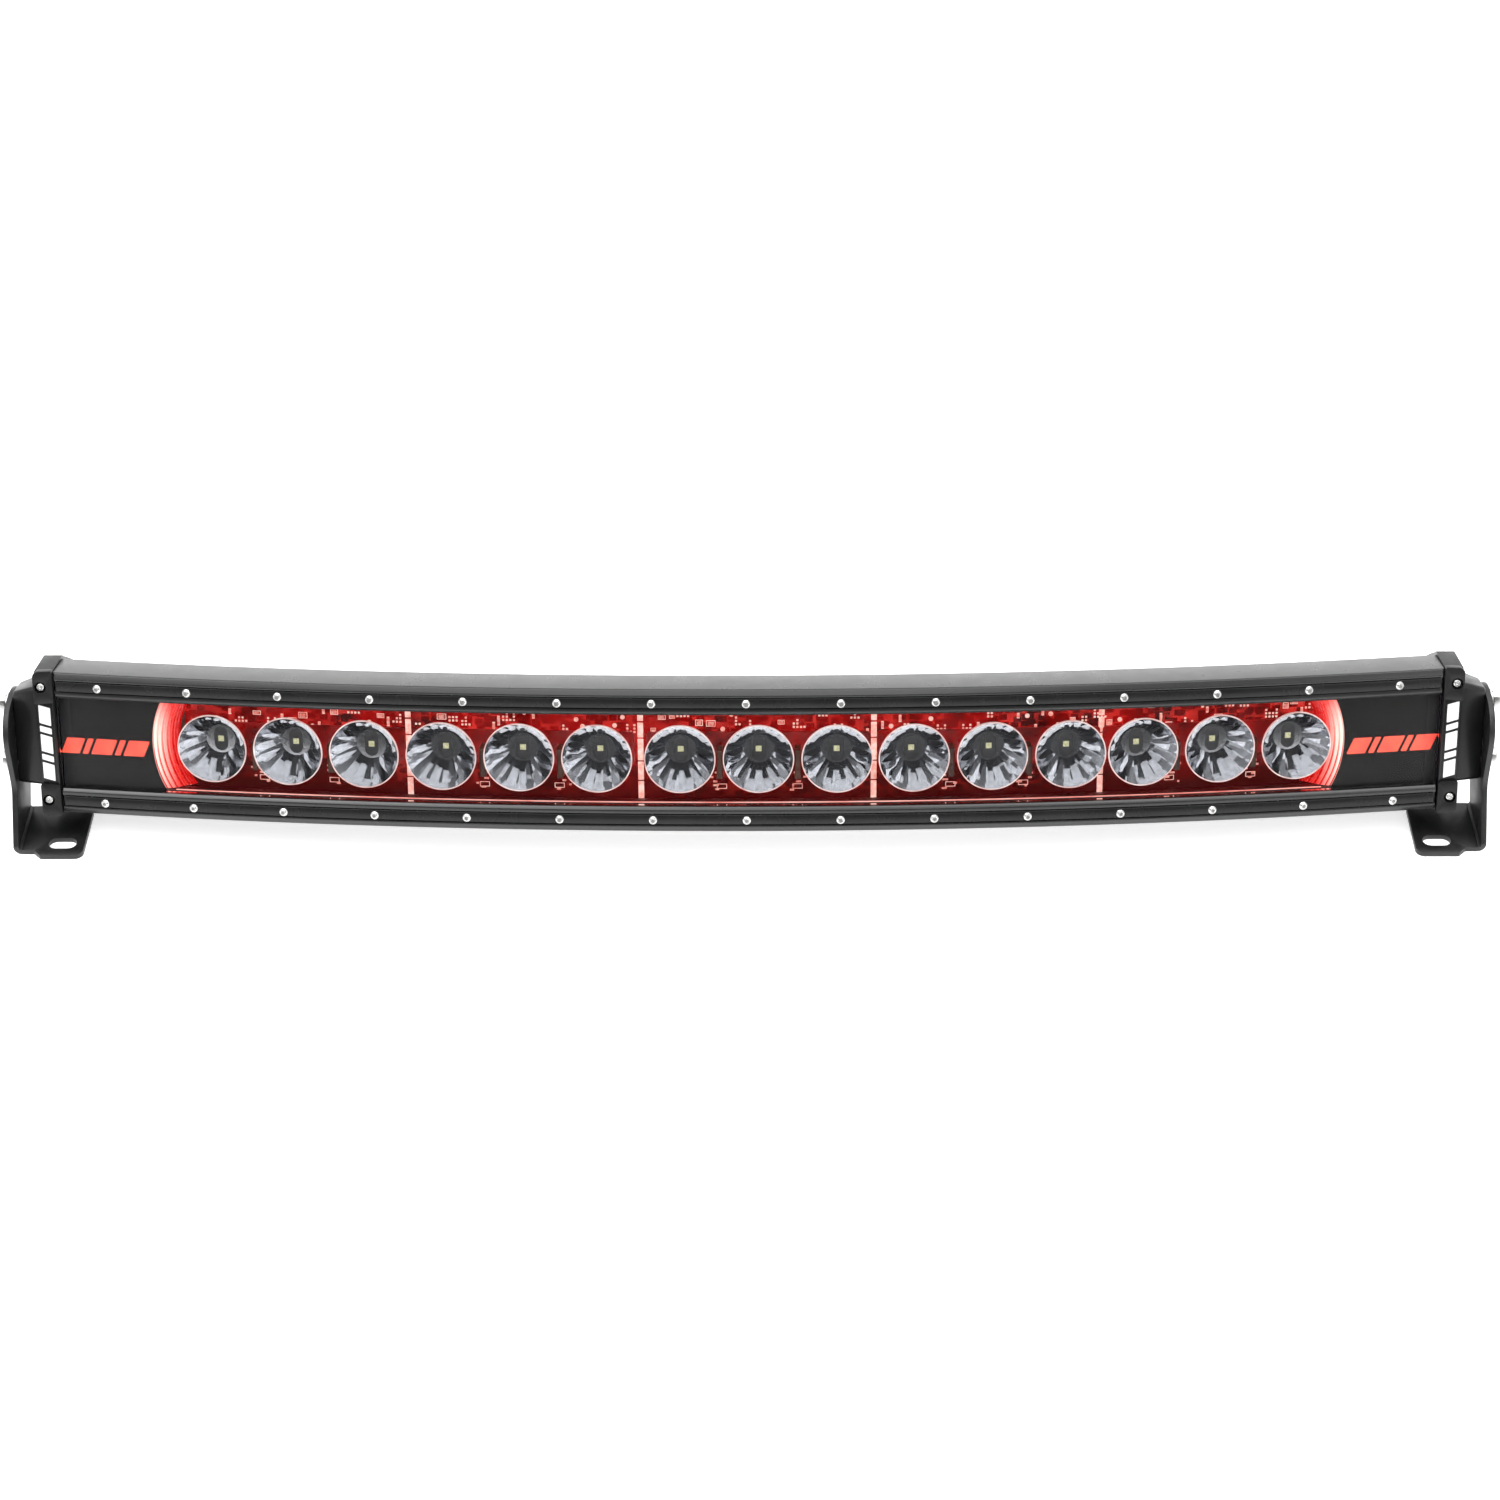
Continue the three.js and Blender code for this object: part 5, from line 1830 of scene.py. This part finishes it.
@dataclass
class BoltSet:
    """Pivot and lock bolts with their washers, outside each bracket."""

    face_x: float = 416.3
    pivot_z: float = 18.0
    lock_z: float = -16.0
    y: float = 54.0
    washer_radius: float = 6.25
    washer_thick: float = 1.5
    across_flats: float = 10.0
    head: float = 4.2

    def bolt(self) -> Shape:
        """A hexagon bolt head on a plain washer and a spring washer, pointing along +z.

        Returns:
            The bolt and its washers.
        """
        thick, edge = self.washer_thick, self.washer_radius
        rim = [(edge - 0.2, thick), (edge, thick - 0.2), (edge, 0.2), (edge - 0.2, 0.0)]
        washer = Shape.turned([(3.4, 0.0), (3.4, thick), *rim], 32, closed=True)
        spring = Shape.turned([(3.2, 1.5), (3.2, 2.6), (4.9, 2.6), (4.9, 1.5)], 32, closed=True)
        radius = self.across_flats / 2 / math.cos(math.pi / 6)
        base = self.washer_thick + 1.2
        top = base + self.head
        bolt = Shape.prism(circle(0.0, 0.0, radius, 6), "z", base, top).bevelled(0.45, 2, above=50.0)
        shank = Shape.turned([(2.95, -12.0), (2.95, base + 0.1)], 20)
        dish = Shape.turned([(4.4, top - 0.3), (4.4, top + 0.12), (3.9, top), (3.2, top - 0.05)], 24)
        return joined([washer, spring, bolt, shank, dish]).smoothed(30.0)

    def build(self, builder: Builder) -> None:
        """Make the four bolts.

        Args:
            builder: takes the finished shapes.
        """
        for hand in Hand:
            out = Matrix.Rotation(math.radians(90 * hand.value), 4, "Y")
            for label, z in (("pivot", self.pivot_z), ("lock", self.lock_z)):
                name = f"{label}_bolt_{hand.label}"
                place = Matrix.Translation((hand.value * self.face_x, self.y, z))
                bolt = self.bolt().placed(place @ out)
                builder.add(f"{name}_hex", bolt.moved(SPACE.leaned), ZINC, nodes=(name,), slot="bolt_zinc")


@dataclass
class Bracket:
    """Bent plate bracket: an arm with a pivot hole and an arc slot, and a slotted foot."""

    inner_x: float = 413.0
    outer_x: float = 416.0
    thick: float = 3.0
    bend: float = 4.5
    foot_reach: float = 39.5
    foot_front: float = -1.8
    foot_root: float = 2.5
    foot_rear: float = 41.5
    pivot_back: float = 53.0
    pivot_height: float = 66.5
    hole: float = 3.4
    lock_radius: float = 34.0
    lean: float = 20.0
    swing: float = 12.0
    head_radius: float = 25.5

    def arc_slot(self) -> list[Point2]:
        """Outline of the lock bolt's slot.

        Returns:
            The outline, as (u, w) from the foot.
        """
        points = []

        def at(radius: float, degrees: float) -> Point2:
            """Point about the pivot, with the angle from straight down towards the front."""
            turn = math.radians(degrees)
            return (self.pivot_back - radius * math.sin(turn), self.pivot_height - radius * math.cos(turn))

        low, high = self.lean - self.swing, self.lean + self.swing
        for step in range(13):
            points.append(at(self.lock_radius + self.hole, low + (high - low) * step / 12))
        for end, start in ((high, 0.0), (low, 180.0)):
            centre = at(self.lock_radius, end)
            for step in range(1, 8):
                turn = math.radians(end + start + 22.5 * step)
                across, along = self.hole * math.sin(turn), self.hole * math.cos(turn)
                points.append((centre[0] - across, centre[1] - along))
            if end == high:
                for step in range(13):
                    points.append(at(self.lock_radius - self.hole, high - (high - low) * step / 12))
        return points

    def arm(self) -> Shape:
        """The upright plate, on the right hand.

        Returns:
            The arm.
        """
        head_u, head_w = self.pivot_back - 6.0, self.pivot_height - 16.0
        reach = self.head_radius
        front, rear = self.foot_root, self.foot_rear
        corners = [
            (front, self.bend - self.thick), (front, 1.6), (front + 18.8, 29.5, 18),
            (head_u - reach, 44, 6), (head_u - reach, head_w + reach, 19),
            (head_u + reach, head_w + reach, 24), (head_u + reach, head_w - 12, 20),
            (rear + 20.5, 28, 16), (rear, 1.6), (rear, self.bend - self.thick),
        ]
        holes = (circle(self.pivot_back, self.pivot_height, self.hole, 32), self.arc_slot())
        plate = Shape.prism(rounded(corners, 10), "x", self.inner_x, self.outer_x, holes)
        return plate.bevelled(0.35, 2, above=50.0)

    def foot(self) -> Shape:
        """The foot plate with its slot, its front corners rounded and relieved at the bend.

        Returns:
            The foot.
        """
        inner = self.outer_x - self.foot_reach
        root = self.outer_x - self.bend
        corners = [
            (inner, self.foot_front, 5), (self.outer_x - 15.5, self.foot_front, 2),
            (self.outer_x - 11.5, self.foot_root, 1.5), (root, self.foot_root), (root, self.foot_rear),
            (inner, self.foot_rear, 5),
        ]
        slot = capsule(389.2, 8.7, 8.0, 4.5)
        plate = Shape.prism(rounded(corners, 8), "z", -self.thick, 0.0, (slot,))
        return plate.bevelled(0.35, 2, above=50.0)

    def fold(self) -> Shape:
        """The rounded bend between the foot and the arm.

        Returns:
            The bend.
        """
        centre_x, centre_z = self.outer_x - self.bend, self.bend - self.thick
        outer, inner = [], []
        for step in range(9):
            turn = math.radians(90.0 * step / 8)
            for points, radius in ((outer, self.bend), (inner, self.bend - self.thick)):
                points.append((centre_x + radius * math.sin(turn), centre_z - radius * math.cos(turn)))
        section = [(centre_x - 0.6, -self.thick), *outer, (self.outer_x, centre_z + 0.6),
                   (self.inner_x, centre_z + 0.6), *reversed(inner), (centre_x - 0.6, 0.0)]
        strip = Shape.prism(section, "y", self.foot_root + 0.02, self.foot_rear - 0.02)
        return strip.bevelled(0.3, 2, above=60.0)

    def build(self, builder: Builder) -> None:
        """Make both brackets.

        Args:
            builder: takes the finished shapes.
        """
        for hand, body in ((Hand.LEFT, Body.LEFT), (Hand.RIGHT, Body.RIGHT)):
            shape = joined([self.arm(), self.foot(), self.fold()])
            shape.placed(Matrix.Diagonal((hand.value, 1.0, 1.0, 1.0))).smoothed(30.0)
            name = f"bracket_{hand.label}"
            builder.add(f"{name}_plate", shape.moved(SPACE.footed), BRACKET, body=body, nodes=(name,),
                        slot="bracket_black")


@dataclass
class RearFittings:
    """Cable gland and breather vent in the pocket among the fins."""

    wall: float = 35.0
    gland_x: float = -2.0
    vent_x: float = 30.0

    def gland(self) -> Shape:
        """Hexagon base, domed nut with flats and an open bore.

        Returns:
            The gland.
        """
        wall = self.wall
        wedge = math.pi / 3

        def hexed(radius: float) -> Callable[[float], float]:
            """Hexagon of a given corner radius."""
            return lambda angle: radius * math.cos(wedge / 2) / math.cos((angle % wedge) - wedge / 2)

        def ribbed(radius: float) -> Callable[[float], float]:
            """Ribbed grip round the nut."""
            return lambda angle: radius + 0.25 * math.cos(angle * 16)

        rings = [
            (5.8, wall - 3.8), (5.8, wall + 0.4), (hexed(9.4), wall + 0.4), (hexed(9.6), wall + 0.9),
            (hexed(9.6), wall + 5.0), (hexed(9.2), wall + 5.5), (7.2, wall + 5.6), (7.2, wall + 6.1),
            (ribbed(7.5), wall + 6.3), (ribbed(7.5), wall + 11.6), (6.9, wall + 13.4), (5.9, wall + 15.2),
            (4.9, wall + 16.0), (3.2, wall + 16.0), (2.8, wall + 15.4), (2.8, wall - 4.0),
        ]
        return Shape.turned(rings, 96, closed=True).smoothed(30.0)

    def vent(self) -> Shape:
        """Low cap with a notched rim.

        Returns:
            The vent.
        """
        wall = self.wall

        def notched(angle: float) -> float:
            """Rim with eight shallow notches."""
            return 6.4 - (0.7 if math.cos(angle * 8) > 0.75 else 0.0)

        rings = [
            (3.8, wall - 3.8), (3.8, wall + 0.5), (6.2, wall + 0.5), (notched, wall + 0.8),
            (notched, wall + 3.0), (5.8, wall + 3.8), (4.8, wall + 4.2), (3.4, wall + 4.2),
            (3.1, wall + 3.7),
        ]
        return Shape.turned(rings, 96).smoothed(30.0)

    def build(self, builder: Builder) -> None:
        """Make the gland and the vent.

        Args:
            builder: takes the finished shapes.
        """
        for name, shape, x in (("cable_gland", self.gland(), self.gland_x),
                               ("breather_vent", self.vent(), self.vent_x)):
            shape.placed(SPACE.standing(SPACE.square_end(x, self.wall)) @ TO_BACK)
            builder.add(f"{name}_body", shape.moved(SPACE.leaned), NYLON, nodes=(name,), slot="nylon_black")


# ---------------------------------------------------------------- studio


@dataclass(frozen=True)
class Softbox:
    """One soft area light."""

    name: str
    at: tuple[float, float, float]
    aim: tuple[float, float, float]
    size: Point2
    power: float

    def build(self) -> None:
        """Make the light."""
        data = bpy.data.lights.new(self.name, "AREA")
        data.shape = "RECTANGLE"
        data.size, data.size_y = self.size
        data.energy = self.power
        light = bpy.data.objects.new(self.name, data)
        light.location = self.at
        light.rotation_mode = "QUATERNION"
        light.rotation_quaternion = (Vector(self.aim) - Vector(self.at)).to_track_quat("-Z", "Y")
        bpy.context.scene.collection.objects.link(light)


@dataclass
class Studio:
    """Pale floor, soft light and the camera."""

    focal: float = 77.33
    azimuth: float = math.radians(0.769)
    elevation: float = math.radians(18.948)
    roll: float = math.radians(-0.391)
    distance: float = 1768.3
    target: tuple[float, float, float] = (2.08, -2.0, 8.01)
    lights: tuple[Softbox, ...] = (
        Softbox("key", (-0.6, -0.9, 1.9), (0, 0, 0.05), (2.8, 1.2), 22.0),
        Softbox("fill", (1.3, -1.1, 0.9), (0, 0, 0.05), (1.2, 0.8), 4.0),
        Softbox("top", (0.0, 0.9, 1.9), (0, 0, 0.0), (3.0, 1.4), 24.0),
        Softbox("strip", (0.0, -0.15, 1.9), (0, 0, 0.05), (3.0, 0.45), 16.0),
    )

    def floor(self) -> None:
        """A wide floor under the feet."""
        mesh = bpy.data.meshes.new("floor")
        bm = bmesh.new()
        bmesh.ops.create_grid(bm, x_segments=4, y_segments=4, size=15.0)
        bmesh.ops.translate(bm, vec=(0, 0, -0.0002), verts=bm.verts[:])
        bm.to_mesh(mesh)
        bm.free()
        mesh.materials.append(Floor().material())
        plane = bpy.data.objects.new("floor", mesh)
        bpy.context.scene.collection.objects.link(plane)

    def sky(self) -> None:
        """White surroundings, darker in front, so that the bar's face keeps its depth."""
        world = bpy.data.worlds.new("studio")
        world.use_nodes = True
        tree = world.node_tree
        tree.nodes.clear()
        coords = tree.nodes.new("ShaderNodeTexCoord")
        split = tree.nodes.new("ShaderNodeSeparateXYZ")
        tree.links.new(coords.outputs["Generated"], split.inputs[0])
        ramp = tree.nodes.new("ShaderNodeMapRange")
        for key, value in (("From Min", -0.92), ("From Max", -0.45), ("To Min", 0.12), ("To Max", 1.1)):
            ramp.inputs[key].default_value = value
        tree.links.new(split.outputs["Y"], ramp.inputs["Value"])
        light = tree.nodes.new("ShaderNodeBackground")
        light.inputs["Color"].default_value = (1.0, 1.0, 1.0, 1.0)
        tree.links.new(ramp.outputs[0], light.inputs["Strength"])
        output = tree.nodes.new("ShaderNodeOutputWorld")
        tree.links.new(light.outputs[0], output.inputs["Surface"])
        bpy.context.scene.world = world

    def camera(self) -> None:
        """The camera, found from its angles about the bar and then leaned with it."""
        lean = Matrix.Rotation(-SPACE.lean, 3, "X")
        back = Vector((math.sin(self.azimuth) * math.cos(self.elevation),
                       -math.cos(self.azimuth) * math.cos(self.elevation), math.sin(self.elevation)))
        right = (-back).cross(Vector((0, 0, 1))).normalized()
        up = right.cross(-back)
        across = right * math.cos(self.roll) + up * math.sin(self.roll)
        upward = up * math.cos(self.roll) - right * math.sin(self.roll)
        axes = Matrix([lean @ across, lean @ upward, lean @ back]).transposed()
        data = bpy.data.cameras.new("camera")
        data.lens = self.focal
        data.sensor_width = 36.0
        data.clip_start, data.clip_end = 0.05, 60.0
        camera = bpy.data.objects.new("camera", data)
        bpy.context.scene.collection.objects.link(camera)
        place = SPACE.leaned(Vector(self.target) + back * self.distance)
        camera.matrix_world = Matrix.Translation(place) @ axes.to_4x4()
        bpy.context.scene.camera = camera

    def build(self) -> None:
        """Set the studio up."""
        bpy.context.scene.view_settings.view_transform = "Standard"
        self.floor()
        self.sky()
        for light in self.lights:
            light.build()
        self.camera()


def main() -> None:
    """Build every sub-assembly in order."""
    logging.basicConfig(level=logging.INFO, format="%(name)s: %(message)s")
    builder = Builder()
    Housing().build(builder)
    Bezel().build(builder)
    Window().build(builder)
    lamps = LampRow()
    lamps.build(builder)
    CircuitBoard(lamps).build(builder)
    LightGuide().build(builder)
    EndCap().build(builder)
    BoltSet().build(builder)
    Bracket().build(builder)
    RearFittings().build(builder)
    Studio().build()
    log.info("%d pieces made", builder.count)


if __name__ == "__main__":
    main()
